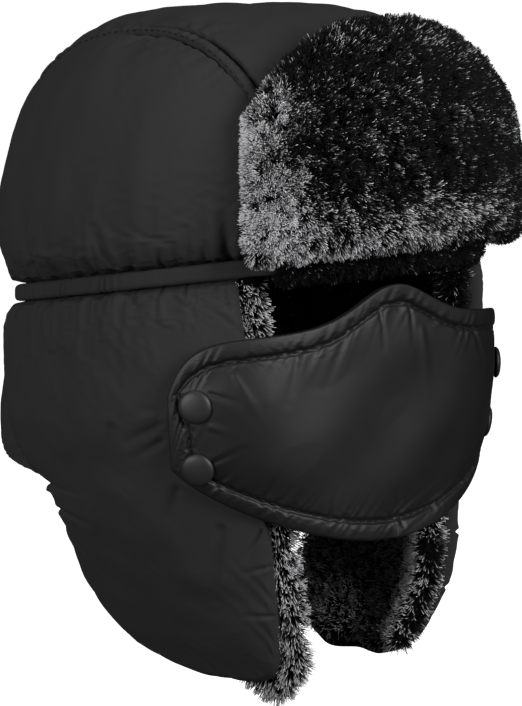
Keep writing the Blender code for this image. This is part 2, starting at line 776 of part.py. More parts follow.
def make_snaps(flaps, mask):
    hole = BARREL_RADIUS + SOCKET_CLEARANCE
    pocket = FLANGE_RADIUS + SOCKET_CLEARANCE
    cloth = [facets(piece) for piece in mask]
    lines = [(name + "_" + level, side, *snap_line(side, depth, facets(flaps["shell", side]), *cloth))
             for name, side in SIDES for level, depth in LEVELS]
    for tag, side, foot, axis, back, inner, seat in lines:
        make_snap(tag, foot, axis, back, inner, seat)
        bore(flaps["shell", side], foot, axis, hole, 4 * SHELL_THICKNESS)
        bore(flaps["wadding", side], foot, axis, pocket, 2 * (FLANGE_THICKNESS + GAP - back))
        for piece in mask:
            bore(piece, foot + axis * (inner + seat) / 2, axis, hole, 4 * (seat - inner))


make_crown()
make_headband()
FLAPS = make_skirt()
make_visor()
MASK = make_mask()
make_snaps(FLAPS, MASK)
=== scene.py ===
"""Dresses the trapper hat's solids in padded nylon, silver-tipped fur, stitching and snaps, and lights them.

Metres, +Z up. The hat faces -Y and the wearer's left is +X. Angles along a surface are measured from
the front, positive towards the wearer's left. Depths are measured down from the headband.
"""
import math

import bmesh
import bpy
import numpy as np
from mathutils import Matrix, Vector


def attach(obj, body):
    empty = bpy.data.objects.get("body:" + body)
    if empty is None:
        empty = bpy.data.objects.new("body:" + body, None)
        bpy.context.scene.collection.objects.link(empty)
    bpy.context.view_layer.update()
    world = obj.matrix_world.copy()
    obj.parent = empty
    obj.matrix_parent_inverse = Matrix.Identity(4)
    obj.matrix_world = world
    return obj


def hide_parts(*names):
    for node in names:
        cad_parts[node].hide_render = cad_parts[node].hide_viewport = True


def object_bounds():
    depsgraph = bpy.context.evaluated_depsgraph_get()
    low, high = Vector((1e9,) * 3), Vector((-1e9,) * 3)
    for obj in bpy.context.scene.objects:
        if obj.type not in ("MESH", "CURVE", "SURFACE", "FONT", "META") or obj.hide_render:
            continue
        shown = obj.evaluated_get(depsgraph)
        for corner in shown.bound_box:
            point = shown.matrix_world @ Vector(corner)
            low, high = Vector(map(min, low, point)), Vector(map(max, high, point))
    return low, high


bl_info = {
    "name": "Trapper hat",
    "version": (1, 0, 0),
    "blender": (4, 5, 0),
    "location": "View3D > Sidebar > Hat",
    "description": "Dresses the solids of a trapper hat in padded nylon and fur, and lights them",
    "category": "Add Mesh",
}

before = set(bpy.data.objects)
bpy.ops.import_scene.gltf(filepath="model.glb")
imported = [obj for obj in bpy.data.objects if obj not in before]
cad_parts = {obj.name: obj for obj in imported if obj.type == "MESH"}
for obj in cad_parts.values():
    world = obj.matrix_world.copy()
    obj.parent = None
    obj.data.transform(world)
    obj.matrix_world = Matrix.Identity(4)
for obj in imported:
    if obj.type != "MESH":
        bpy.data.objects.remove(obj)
CAD_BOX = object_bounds()
SIDES = (("right", -1), ("left", 1))
LEVELS = ("upper", "lower")

# Cloth simulation: frames, and how many rows and columns there are to each simulated one
SETTLE_FRAMES = 14
SETTLE_STRIDE = 3

# Shares that give the pattern its outlines
PLAN_FULLNESS = 2.15
SIDE_FULLNESS = 3.0
SKIRT_FULLNESS = 2.2
SEAM_CORNER = math.radians(38)
TAPER_POWER = 1.5
NECK_SEAM_POWER = 3.0
NECK_RISE_POWER = 0.6
FLAP_REAR = ((0.0, 0.0), (-1.5, 0.13), (0.0, 0.31), (4.5, 0.56), (5.0, 0.83), (-1.0, 1.0))
FLAP_SWEEP = ((0.0, 1.0), (0.24, 0.90), (0.465, 0.83), (0.80, 0.44), (1.0, 0.0))
VISOR_CORNER_POWER = 3.2
VISOR_LEAN_POWER = 2.7
MASK_CORNER_POWER = 16
MASK_JAW_POWER = 1.9
MASK_JAW_SHARE = 0.92

# Where the left flap swings out: depth and turn at which it starts, and the runs over which it grows
SWING_DEPTH, SWING_DEPTH_RUN = 0.11, 0.05
SWING_TURN, SWING_TURN_RUN = 1.4, 0.5

# Faces of the cloth and the fur, measured outwards from the pattern's surface
CROWN_INSIDE = -0.0070
CROWN_FUR_BACK, CROWN_FUR_SKIN = -0.0085, -0.0102
BAND_STAND, BAND_INSIDE = 0.0024, -0.0012
BROW_STAND, BROW_ROUND, BROW_BACK = 0.0010, 0.0030, -0.0020
SKIRT_INSIDE = -0.0062
SKIRT_FUR_BACK, SKIRT_FUR_SKIN = -0.0072, -0.0125
VISOR_INSIDE, VISOR_OUTSIDE = 0.0040, 0.0064
VISOR_SKIN, VISOR_SKIN_ROUND = 0.0080, 0.0045
MASK_LINING_OUTSIDE, MASK_INSIDE, MASK_OUTSIDE = 0.0009, 0.0011, 0.0012

# Felled seam of the crown
WELT_HALF = 0.0023
WELT_HEIGHT = 0.0022
WELT_ROUND = 2.6
WELT_FOOT = -0.0046
WELT_STITCH = 0.62

# Width of the groove beside the band, fullest cloth that fits under the mask, and reach of a stud's dimple
GROOVE_WIDTH = 0.0019
UNDER_MASK = 0.0036
STUD_DIMPLE = 0.0085

# Fur: sizes of its tufts and curls, how deep a strand is rooted and how thin its tip is
TUFT, CURL, GRIZZLE = 0.0095, 0.0034, 0.024
ROOT_DEPTH = 0.0006
TIP_SHARE = 0.62

# Way that the skirt's lining leans, and how the visor's fur is split: quarters, and columns in each
LINING_COMB = np.array([0, 0, -0.35])
VISOR_QUARTERS = 4
VISOR_QUARTER_COLUMNS = 30

# Snap cap: radius, height over its foot, and outline as shares of the radius and heights
CAP_RADIUS = 0.0075
CAP_HEIGHT = 0.0024
CAP_OUTLINE = (
    (0.0, 0.00245), (0.25, 0.0024), (0.5, 0.00222), (0.72, 0.0019), (0.86, 0.0015), (0.94, 0.00105),
    (0.985, 0.0006), (1.0, 0.0002), (0.985, -0.0002), (0.9, -0.0004), (0.0, -0.0004),
)

# Studio: azimuth, elevation, size and power of each softbox, and what lights the hat but isn't seen
LAMPS = {"key": (-84, 12, 0.8, 15.0), "front": (6, 20, 0.9, 24.0), "top": (-60, 72, 1.2, 5.0)}
LAMP_DISTANCE = 1.7
CAMERA_AIM = (0.001, -0.0025, -0.041)
FLOOR_DROP = 0.016
DIM_WORLD, DIM_FLOOR = (0.014, 0.014, 0.015, 1), (0.03, 0.03, 0.03, 1)
BLACK, WHITE = (0, 0, 0, 1), (1, 1, 1, 1)

# How strongly the worked-in folds show
FOLD_SHARE = 0.62
CROWN_FOLD_GAIN, FLAP_FOLD_GAIN, MASK_FOLD_GAIN = 1.8, 1.7, 0.75

# Folds that the padding has worked into the right half, in millimetres: start, end, width, height
CROWN_FOLDS = (
    ((-102, -24, 11), (-108, -18, 28), 1.6, -3.6), ((-101, -28, 12), (-106, -24, 27), 2.2, 1.4),
    ((-100, -33, 12), (-104, -35, 25), 1.2, -1.8), ((-76, -71, 13), (-83, -74, 46), 2.6, -4.2),
    ((-80, -66, 14), (-87, -68, 42), 2.8, 1.8), ((-103, 18, 3), (-108, 13, 16), 1.2, -1.8),
    ((-103, 9, 4), (-107, 6, 13), 1.0, -1.5), ((-103, 1, 5), (-108, -7, 19), 1.2, -2.0),
    ((-101, 34, 1), (-107, 26, 18), 1.4, -2.2), ((-101, -10, 8), (-106, -11, 18), 1.0, -1.6),
    ((-94, -45, 13), (-97, -50, 25), 1.3, -1.8), ((-88, -58, 15), (-92, -60, 30), 1.4, -2.0),
    ((-97, -38, 12), (-100, -41, 21), 1.0, -1.4), ((-91, -52, 14), (-94, -54, 23), 1.0, -1.4),
    ((-84, -63, 16), (-87, -65, 26), 1.1, -1.4), ((-98, 46, 0), (-105, 40, 15), 1.4, -1.8),
)
FLAP_FOLDS = (
    ((-101, 15, -5), (-107, 13, -30), 1.4, -3.0), ((-102, 9, -4), (-107, 6, -26), 2.2, 1.5),
    ((-102, 2, -3), (-107, -2, -25), 1.3, -2.8), ((-101, -10, -1), (-106, -17, -20), 1.2, -2.4),
    ((-99, -30, 4), (-100, -36, -8), 1.1, -2.2), ((-99, 34, -8), (-105, 33, -34), 1.6, -3.0),
    ((-99, 27, -7), (-106, 24, -30), 2.2, 1.5), ((-94, -44, 6), (-96, -45, -6), 1.1, -1.8),
    ((-88, -54, 8), (-89, -57, -5), 1.1, -1.8), ((-100, 24, -6), (-106, 20, -24), 1.2, -2.2),
    ((-101, -20, 1), (-104, -24, -10), 1.1, -1.6), ((-100, -50, -58), (-103, -30, -68), 1.7, -4.4),
    ((-101, -46, -54), (-104, -32, -60), 2.4, 1.8), ((-97, -48, -66), (-102, -32, -76), 1.8, -2.8),
    ((-99, -52, -53), (-100, -40, -51), 1.4, -1.6),
    ((-88, -49, -89), (-80, -26, -128), 3.0, -2.6), ((-80, -54, -102), (-64, -27, -154), 4.0, 1.8),
    ((-72, -60, -106), (-58, -36, -158), 3.2, -2.0), ((-61, -74, -107), (-63, -66, -122), 1.4, -3.0),
    ((-55, -73, -124), (-62, -64, -128), 1.2, -2.6), ((-105, -23, -62), (-102, -10, -88), 3.0, -1.8),
    ((-92, 34, -109), (-92, 9, -113), 1.6, -2.6), ((-50, -70, -150), (-56, -58, -150), 1.4, -2.0),
)
MASK_FOLDS = (
    ((-54, -92, -24), (-60, -91, -47), 2.0, -1.8), ((-27, -96, -14), (-41, -96, -40), 2.2, -1.8),
    ((-9, -97, -8), (-8, -98, -27), 1.3, -2.2), ((9, -97, -8), (9, -98, -27), 1.3, -2.0),
    ((-80, -79, -35), (-71, -86, -54), 2.0, 1.0), ((-87, -71, -42), (-78, -80, -46), 1.4, -1.6),
    ((-86, -70, -74), (-77, -80, -67), 1.4, -1.6), ((-87, -71, -57), (-80, -78, -60), 1.8, 1.0),
    ((15, -97, -22), (20, -97, -50), 2.8, 1.2), ((-67, -82, -92), (-60, -88, -76), 1.5, -1.3),
    ((-36, -92, -104), (-34, -94, -90), 1.5, -1.3), ((5, -95, -110), (1, -96, -95), 1.5, -1.3),
    ((54, -92, -24), (60, -91, -44), 2.0, -1.6), ((87, -71, -42), (78, -80, -46), 1.4, -1.6),
    ((86, -70, -74), (77, -80, -67), 1.4, -1.6),
)


def length(name, description, default):
    return bpy.props.FloatProperty(name=name, description=description, default=default, unit="LENGTH")


def angle(name, description, degrees):
    return bpy.props.FloatProperty(name=name, description=description, default=math.radians(degrees),
                                   subtype="ANGLE")


def colour(name, description, default):
    return bpy.props.FloatVectorProperty(name=name, description=description, default=default, size=3,
                                         subtype="COLOR", min=0, max=1)


def count(name, description, default):
    return bpy.props.IntProperty(name=name, description=description, default=default, min=1)


class HatPattern(bpy.types.PropertyGroup):
    """Sizes that the cloth is cut to."""
    crown_half_width: length("Crown half width", "Half the width of the crown", 0.1085)
    crown_front: length("Crown front", "Reach of the crown in front of the origin", 0.106)
    crown_back: length("Crown back", "Reach of the crown behind the origin", 0.128)
    crown_height: length("Crown height", "Height of the crown over the headband", 0.116)
    crown_tuck: length("Crown tuck", "How far the headband draws the crown in", 0.007)
    tuck_length: length("Tuck length", "Height over which the crown swells out", 0.009)
    seam_spacing: length("Seam spacing", "Half the distance between the crown's seams", 0.058)
    band_slope: bpy.props.FloatProperty(name="Band slope", description="Rise of the band to the front",
                                        default=0.165)
    band_height: length("Band height", "Height of the headband", 0.008)
    elastic_angle: angle("Elastic angle", "Where the gathered casing starts", 76)
    swell_side: length("Side swell", "How far the flaps swell under the band", 0.004)
    swell_back: length("Back swell", "How far the neck panel swells under the band", 0.008)
    draw_front: length("Front draw", "How far the front edge draws in", 0.003)
    swell_length: length("Swell length", "Depth over which the skirt swells", 0.007)
    taper_start: length("Taper start", "Depth at which the flaps start to close in", 0.055)
    taper_length: length("Taper length", "Depth over which they close in", 0.125)
    taper_side: length("Side taper", "How far the flaps close in at the sides", 0.058)
    taper_front: length("Front taper", "How far they close in at the front", 0.002)
    taper_back: length("Back taper", "How far they close in at the back", 0.012)
    flap_front_top: angle("Flap front top", "Front edge of a flap at the band", 45.5)
    flap_front_low: angle("Flap front low", "Front edge of a flap at its corner", 32.5)
    flap_front_depth: length("Flap front depth", "Depth of a flap's front corner", 0.180)
    flap_tip: angle("Flap tip", "Where a flap hangs lowest", 40)
    flap_depth: length("Flap depth", "Depth of a flap at its tip", 0.190)
    flap_heel: length("Flap heel", "Depth of a flap's rear corner", 0.1705)
    flap_swing: length("Flap swing", "How far the left flap's lower front swings out", 0.009)
    neck_seam: angle("Neck seam", "Seam between a flap and the neck panel, at the band", 140)
    neck_seam_low: angle("Neck seam foot", "The same seam at its foot", 112)
    neck_depth: length("Neck depth", "Depth of the neck panel at its seams", 0.087)
    neck_rise: length("Neck rise", "How much shorter the neck panel is at the nape", 0.015)
    visor_end: angle("Visor end", "Half the visor's arc", 43.5)
    visor_height: length("Visor height", "Height of the turned-up visor", 0.101)
    visor_drop: length("Visor corner drop", "How much lower the visor's ends are", 0.046)
    visor_lean: length("Visor lean", "How far the visor would lean back at the crown's height", 0.0436)
    mask_tab: angle("Mask tab", "Where the mask's tabs end", 61)
    mask_nose_depth: length("Mask nose depth", "Depth of the mask's peak", 0.010)
    mask_nose: angle("Mask nose", "Width of the mask's peak", 17.5)
    mask_cheek_depth: length("Mask cheek depth", "Depth of the mask's top edge at the cheeks", 0.027)
    mask_tab_top: length("Mask tab top", "Upper depth of the mask's tabs", 0.049)
    mask_tab_bottom: length("Mask tab bottom", "Lower depth of the mask's tabs", 0.082)
    mask_chin_depth: length("Mask chin depth", "Depth of the mask's lower edge", 0.127)
    mask_flattening: length("Mask flattening", "How far the mask lies in at the nose", 0.009)
    mask_stand: length("Mask stand", "How far the mask stands off the flaps", 0.0059)


class HatCloth(bpy.types.PropertyGroup):
    """Padding, gathers and stitching of the cloth, and its colours."""
    crown_puff: length("Crown puff", "Swell of the crown's panels", 0.0034)
    flap_puff: length("Flap puff", "Swell of the flaps and the neck panel", 0.0040)
    groove: length("Groove", "Depth of the grooves beside the band and the crown's seams", 0.0038)
    gather: length("Gather", "Height of the gathers at the elastic", 0.0011)
    pucker: length("Pucker", "Height of the puckers at the seams", 0.00055)
    crumple: length("Crumple", "Height of the cloth's soft waves", 0.0016)
    hem: length("Hem", "Width of the mask's hem", 0.009)
    stitch: length("Stitch", "Length of a stitch", 0.0032)
    thread: length("Thread", "Radius of the thread", 0.00032)
    nylon: colour("Nylon", "Colour of the shell cloth", (0.004, 0.004, 0.0043))
    mask: colour("Mask", "Colour of the mask's cloth", (0.004, 0.004, 0.0043))
    thread_colour: colour("Thread", "Colour of the thread", (0.003, 0.003, 0.0033))
    cap: colour("Snap cap", "Colour of the snap caps", (0.014, 0.014, 0.015))
    metal: colour("Snap metal", "Colour of the snaps' metal", (0.36, 0.36, 0.37))


class HatFur(bpy.types.PropertyGroup):
    """Pile of the visor and the linings."""
    visor_strands: count("Visor strands", "Strands on each quarter of the visor", 36000)
    flap_strands: count("Flap strands", "Strands on each flap", 38000)
    brow_strands: count("Brow strands", "Strands where the lining turns out under the visor", 12000)
    crown_strands: count("Crown strands", "Strands in the crown", 30000)
    neck_strands: count("Neck strands", "Strands on the neck lining", 20000)
    visor_pile: length("Visor pile", "Length of the visor's pile", 0.0062)
    lining_pile: length("Lining pile", "Length of the linings' pile", 0.0066)
    strand: length("Strand", "Radius of a strand at its root", 0.00025)
    root: colour("Root", "Colour of the pile's roots", (0.003, 0.003, 0.0033))
    tip: colour("Tip", "Colour of the pile's tips", (0.80, 0.80, 0.82))


class HatStage(bpy.types.PropertyGroup):
    """Camera, floor and lamps."""
    azimuth: angle("Azimuth", "Direction that the camera looks from", -41)
    elevation: angle("Elevation", "Height of the camera over the horizon", 9)
    distance: length("Distance", "Distance of the camera", 1.3)
    lens: bpy.props.FloatProperty(name="Lens", description="Focal length", default=139.2, unit="CAMERA")
    floor: colour("Floor", "Colour of the floor", (0.9, 0.9, 0.9))


# Fields over a surface


def ease(t):
    t = np.clip(t, 0, 1)
    return t * t * (3 - 2 * t)


def lines(number, crowding=0.55):
    """Places from 0 to 1 that crowd towards both ends."""
    t = np.linspace(0, 1, number)
    return t - crowding * np.sin(2 * math.pi * t) / (2 * math.pi)


def waves(points, wavelength, seed, number=14):
    """Soft random waves of about one wavelength, from -1 to 1."""
    rng = np.random.default_rng(seed)
    total = np.zeros(points.shape[:-1])
    for _ in range(number):
        way = rng.normal(size=3)
        way *= 2 * math.pi / wavelength / np.linalg.norm(way) * rng.uniform(0.6, 1.5)
        total += np.sin(points @ way + rng.uniform(0, 2 * math.pi))
    return np.clip(total / math.sqrt(number / 2) / 1.8, -1, 1)


def folds(along, wavelength, seed):
    """Uneven row of small folds along an edge, from -1 to 1."""
    rng = np.random.default_rng(seed)
    a, b, c = rng.uniform(0, 2 * math.pi, 3)
    turn = 2 * math.pi * along / wavelength
    drift = 1.7 * np.sin(turn / 4.7 + a) + 1.1 * np.sin(turn / 2.3 + b)
    strength = 0.62 + 0.38 * np.sin(turn / 6.1 + c)
    return np.sin(turn + drift) * strength


def fold_relief(points, strokes, side=-1):
    """Relief of worked-in folds, which are strongest where they start. Side 1 mirrors them."""
    total = np.zeros(points.shape[:-1])
    normal = np.cross(np.gradient(points, axis=1), np.gradient(points, axis=0))
    normal /= np.maximum(np.linalg.norm(normal, axis=-1, keepdims=True), 1e-12)
    for start, end, width, height in strokes:
        a, b = (np.array(place) * (-side, 1, 1) / 1000 for place in (start, end))
        way = b - a
        along = np.clip((points - a) @ way / (way @ way), 0, 1)
        offset = points - a - along[..., None] * way
        sunk = np.einsum("ijk,ijk->ij", offset, normal)
        offset -= normal * np.clip(sunk, -0.008, 0.008)[..., None]
        away = np.linalg.norm(offset, axis=-1)
        wide = width / 1000 * (0.8 + 0.6 * along)
        shape = np.exp(-(away / wide) ** 2) - 0.4 * np.exp(-(away / wide / 2.3) ** 2)
        total += FOLD_SHARE * height / 1000 * (1 - 0.85 * ease(along)) * shape
    return total


def edge_runs(points):
    """Distance of each grid point to the grid's four edges, measured along the grid."""
    across = np.linalg.norm(np.diff(points, axis=1), axis=2)
    down = np.linalg.norm(np.diff(points, axis=0), axis=2)
    first = np.concatenate([np.zeros((points.shape[0], 1)), np.cumsum(across, axis=1)], axis=1)
    top = np.concatenate([np.zeros((1, points.shape[1])), np.cumsum(down, axis=0)], axis=0)
    return {"first": first, "last": first[:, -1:] - first, "top": top, "low": top[-1:, :] - top}


def rounded(run, radius):
    """Drop of a padded edge that turns in round a radius."""
    inner = np.clip(1 - run / radius, 0, 1)
    return radius * (1 - np.sqrt(1 - inner * inner))


def nearest(*runs):
    return np.minimum.reduce(runs)


def to_edges(runs, edges):
    """Distance to the nearest of some edges, which are given by name."""
    return nearest(*(runs[edge] for edge in edges))


def smooth_curve(points, t):
    """Points of a smooth curve through a few points, t running from 0 to 1."""
    points = np.array(points)
    points = np.vstack([2 * points[0] - points[1], points, 2 * points[-1] - points[-2]])
    place = np.minimum(t, 0.999999) * (len(points) - 3)
    i = place.astype(int)
    f = (place - i)[..., None]
    p0, p1, p2, p3 = (points[i + k] for k in range(4))
    bend = (p0 * 2 - p1 * 5 + p2 * 4 - p3) * f * f + (p1 * 3 - p0 - p2 * 3 + p3) * f ** 3
    return (p1 * 2 + (p2 - p0) * f + bend) / 2


def patch(u, v, start, end, first, last, corners):
    """Places between four edges: start and end where v is 0 and 1, first and last where u is 0 and 1."""
    u, v = u[..., None], v[..., None]
    a, b, c, d = corners
    ends = (a * (1 - u) + b * u) * (1 - v) + (c * (1 - u) + d * u) * v
    return start * (1 - v) + end * v + first * (1 - u) + last * u - ends


# Pattern surfaces, each for arrays of places


class Pattern:
    """Surfaces that the hat's pieces follow, from the pattern's sizes."""

    def __init__(self, sizes):
        self.s = sizes

    def band_rise(self, y):
        return -self.s.band_slope * y

    def plan(self, turn, side, front, back, fullness):
        """Points of an oval with unlike front and back reach."""
        sine, cosine = np.sin(turn), np.cos(turn)
        reach = np.where(cosine > 0, front, back)
        r = (np.abs(sine / side) ** fullness + np.abs(cosine / reach) ** fullness) ** (-1 / fullness)
        return r * sine, -r * cosine

    def dome(self, way, stand):
        """Crown surface in a direction given in shares of its half-sizes, moved outwards by stand."""
        s, n, p = self.s, PLAN_FULLNESS, SIDE_FULLNESS
        x, y, z = way[..., 0], way[..., 1], way[..., 2]
        size = ((np.abs(x) ** n + np.abs(y) ** n) ** (p / n) + np.abs(z) ** p) ** (1 / p)
        x, y, z = x / size, y / size, z / size
        reach = np.where(y < 0, s.crown_front, s.crown_back)
        weight = np.maximum(np.abs(x) ** n + np.abs(y) ** n, 1e-12) ** (p / n - 1)
        normal = np.stack([
            np.sign(x) * weight * np.abs(x) ** (n - 1) / s.crown_half_width,
            np.sign(y) * weight * np.abs(y) ** (n - 1) / reach,
            np.sign(z) * np.abs(z) ** (p - 1) / s.crown_height,
        ], axis=-1)
        normal /= np.linalg.norm(normal, axis=-1, keepdims=True)
        points = np.stack([x * s.crown_half_width, y * reach, z * s.crown_height], axis=-1)
        drop = s.crown_tuck * np.exp(-np.abs(z) * s.crown_height / s.tuck_length)
        points = points + normal * (stand - drop)[..., None]
        points[..., 2] += self.band_rise(points[..., 1]) * (1 - np.abs(z)) + s.band_height / 2
        return points

    def seam(self, rise, side, spacing):
        x = spacing / self.s.crown_half_width
        deep = (1 - x ** PLAN_FULLNESS) ** (1 / PLAN_FULLNESS)
        return np.stack([side * x + 0 * rise, -deep * np.cos(rise), deep * np.sin(rise)], axis=-1)

    def crown_top(self, u, v):
        """Direction on the top panel, u across it and v from the brow over to the nape."""
        x = (2 * u - 1) * self.s.seam_spacing
        return self.seam(math.pi * v, np.sign(x), np.abs(x))

    def crown_side(self, side, u, v):
        """Direction on a side panel, u from the front to the back and v from the band up."""
        start = self.seam(np.array(0.0), 1, self.s.seam_spacing)
        foot = math.atan2(start[0], -start[1])

        def ring(t):
            turn = side * (foot + (math.pi - 2 * foot) * t)
            return np.stack([np.sin(turn), -np.cos(turn), 0 * turn], axis=-1)

        def seam(rise):
            way = self.seam(rise, side, self.s.seam_spacing)
            return way / np.linalg.norm(way, axis=-1, keepdims=True)

        low, high = ring(u), seam(SEAM_CORNER + (math.pi - 2 * SEAM_CORNER) * u)
        front, back = seam(SEAM_CORNER * v), seam(math.pi - SEAM_CORNER * v)
        zero, one = np.zeros(()), np.ones(())
        corners = ring(zero), ring(one), seam(SEAM_CORNER + zero), seam(math.pi - SEAM_CORNER + zero)
        return patch(u, v, low, high, front, back, corners)

    def band(self, turn, stand, height):
        """Headband surface, height measured from the band's middle."""
        s = self.s
        side, front, back = (reach - s.crown_tuck + stand
                             for reach in (s.crown_half_width, s.crown_front, s.crown_back))
        x, y = self.plan(turn, side, front, back, PLAN_FULLNESS)
        return np.stack([x, y, self.band_rise(y) + height], axis=-1)

    def skirt_plan(self, turn, depth):
        s = self.s
        swell = 1 - np.exp(-np.maximum(depth, 0) / s.swell_length)
        taper = (np.maximum(depth - s.taper_start, 0) / s.taper_length) ** TAPER_POWER
        side = s.crown_half_width - s.crown_tuck + s.swell_side * swell - s.taper_side * taper
        front = s.crown_front - s.crown_tuck - s.draw_front * swell - s.taper_front * taper
        back = s.crown_back - s.crown_tuck + s.swell_back * swell - s.taper_back * taper
        return np.stack(self.plan(turn, side, front, back, SKIRT_FULLNESS), axis=-1)

    def skirt(self, turn, depth, stand):
        """Flaps' and neck panel's outer face, moved level outwards by stand."""
        step = 0.002
        along = self.skirt_plan(turn + step, depth) - self.skirt_plan(turn - step, depth)
        out = np.stack([along[..., 1], -along[..., 0]], axis=-1)
        out /= np.linalg.norm(out, axis=-1, keepdims=True)
        swing = self.s.flap_swing * ease((depth - SWING_DEPTH) / SWING_DEPTH_RUN)
        swing = swing * ease((SWING_TURN - turn) / SWING_TURN_RUN) * (turn > 0)
        place = self.skirt_plan(turn, depth) + out * (stand + swing)[..., None]
        z = self.band_rise(place[..., 1]) - self.s.band_height / 2 - depth
        return np.concatenate([place, z[..., None]], axis=-1)

    def seam_turn(self, t):
        """Turn of the seam between a flap and the neck panel, at a share of the panel's depth."""
        s = self.s
        return s.neck_seam + (s.neck_seam_low - s.neck_seam) * t ** NECK_SEAM_POWER

    def flap_rear(self, t):
        """Rear edge of a flap: down the neck seam in the first half, then free to the heel."""
        s = self.s
        seam = np.clip(2 * t, 0, 1)
        sewn = np.stack([self.seam_turn(seam), s.neck_depth * seam], axis=-1)
        drop = s.flap_heel - s.neck_depth
        points = [(s.neck_seam_low + math.radians(a), s.neck_depth + drop * d) for a, d in FLAP_REAR]
        free = smooth_curve(points, np.clip(2 * t - 1, 0, 1))
        return np.where((t < 0.5)[..., None], sewn, free)

    def flap_edge(self, t):
        """Lower edge of a flap from its front corner round the tip to the heel."""
        s = self.s
        turn = s.flap_tip - s.flap_front_low
        bend = s.flap_front_depth + 0.7 * (s.flap_depth - s.flap_front_depth)
        heel = s.neck_seam_low + math.radians(FLAP_REAR[-1][0])
        points = [(s.flap_front_low, s.flap_front_depth), (s.flap_front_low + 0.2 * turn, bend)]
        points += [(s.flap_tip + (heel - s.flap_tip) * a, s.flap_heel + (s.flap_depth - s.flap_heel) * d)
                   for a, d in FLAP_SWEEP]
        return smooth_curve(points, t)

    def flap(self, u, v, front_extra=0.0, low_extra=0.0):
        """Turn and depth on a flap, u from its front edge to its rear one and v from the band down."""
        s = self.s
        fade = np.maximum(1 - 2 * u, 0) ** 2
        low = self.flap_edge(u) + np.stack([-front_extra * fade, low_extra * fade], axis=-1)
        first = s.flap_front_top - front_extra
        top = np.stack([first + (s.neck_seam - first) * u, 0 * u], axis=-1)
        corners = [np.array([first, 0]), np.array([s.neck_seam, 0]),
                   np.array([s.flap_front_low - front_extra, s.flap_front_depth + low_extra]),
                   self.flap_rear(np.array(1.0))]
        front = corners[0] * (1 - v[..., None]) + corners[2] * v[..., None]
        place = patch(u, v, top, low, front, self.flap_rear(v), corners)
        return place[..., 0], place[..., 1]

    def neck(self, u, v):
        """Turn and depth on the neck panel, u from the left flap's seam to the right one's."""
        s = self.s
        side = self.seam_turn(v)
        rise = s.neck_rise * np.clip(4 * u * (1 - u), 0, 1) ** NECK_RISE_POWER
        return side + (2 * math.pi - 2 * side) * u, v * (s.neck_depth - rise)

    def visor(self, turn, height, stand):
        """Turned-up visor, which leans back over the crown as it rises."""
        s = self.s
        lean = s.visor_lean * (np.maximum(height, 0) / s.crown_height) ** VISOR_LEAN_POWER
        side, front = s.crown_half_width + stand - lean, s.crown_front + stand - lean
        x, y = self.plan(turn, side, front, front, PLAN_FULLNESS)
        return np.stack([x, y, self.band_rise(y) + s.band_height / 2 + height], axis=-1)

    def visor_place(self, u, v):
        s = self.s
        turn = s.visor_end * (2 * u - 1)
        top = s.visor_height - s.visor_drop * np.abs(2 * u - 1) ** VISOR_CORNER_POWER
        return turn, top * v

    def mask_place(self, u, v):
        """Turn and depth on the mask, u from the right tab to the left one and v from its top down."""
        s = self.s
        across = 2 * u - 1
        turn = across * s.mask_tab
        bend = np.abs(across)
        nose = np.exp(-(turn / s.mask_nose) ** 2)
        corner = bend ** MASK_CORNER_POWER
        top = s.mask_cheek_depth - (s.mask_cheek_depth - s.mask_nose_depth) * nose
        top = top + (s.mask_tab_top - s.mask_cheek_depth) * corner
        jaw = MASK_JAW_SHARE * bend ** MASK_JAW_POWER + (1 - MASK_JAW_SHARE) * corner
        low = s.mask_chin_depth + (s.mask_tab_bottom - s.mask_chin_depth) * jaw
        return turn, top + (low - top) * v

    def mask(self, u, v, stand):
        s = self.s
        turn, depth = self.mask_place(u, v)
        flat = s.mask_flattening * np.maximum(1 - (turn / s.flap_front_top) ** 2, 0) ** 2
        return self.skirt(turn, depth, s.mask_stand - flat + stand)


def pattern():
    return Pattern(bpy.context.scene.hat_pattern)


# Meshes


def add_mesh(name, points, faces, finish):
    mesh = bpy.data.meshes.new(name)
    mesh.from_pydata(points, [], faces)
    mesh.shade_smooth()
    item = bpy.data.objects.new(name, mesh)
    bpy.context.scene.collection.objects.link(item)
    mesh.materials.append(finish)
    return item


def grid_quads(rows, columns, start=0):
    corner = start + np.arange(rows - 1)[:, None] * columns + np.arange(columns - 1)[None, :]
    corner = corner.reshape(-1)
    return np.stack([corner, corner + 1, corner + columns + 1, corner + columns], axis=1)


def padded_faces(rows, columns):
    """Faces of a closed pad: an outer grid, an inner grid and the rim between them."""
    size = rows * columns
    outer, inner = grid_quads(rows, columns), grid_quads(rows, columns, size)[:, ::-1]
    walk = np.concatenate([
        np.arange(columns - 1), np.arange(rows - 1) * columns + columns - 1,
        size - 1 - np.arange(columns - 1), (rows - 1 - np.arange(rows - 1)) * columns])
    ahead = np.roll(walk, -1)
    rim = np.stack([walk, walk + size, ahead + size, ahead], axis=1)
    return np.concatenate([outer, inner, rim])


def face_out(item):
    build = bmesh.new()
    build.from_mesh(item.data)
    bmesh.ops.recalc_face_normals(build, faces=build.faces)
    build.to_mesh(item.data)
    build.free()


def pad(name, outer, inner, finish):
    """Closed padded piece between an outer and an inner grid of points."""
    rows, columns = outer.shape[:2]
    points = np.concatenate([outer.reshape(-1, 3), inner.reshape(-1, 3)])
    item = add_mesh(name, points.tolist(), padded_faces(rows, columns).tolist(), finish)
    face_out(item)
    return item


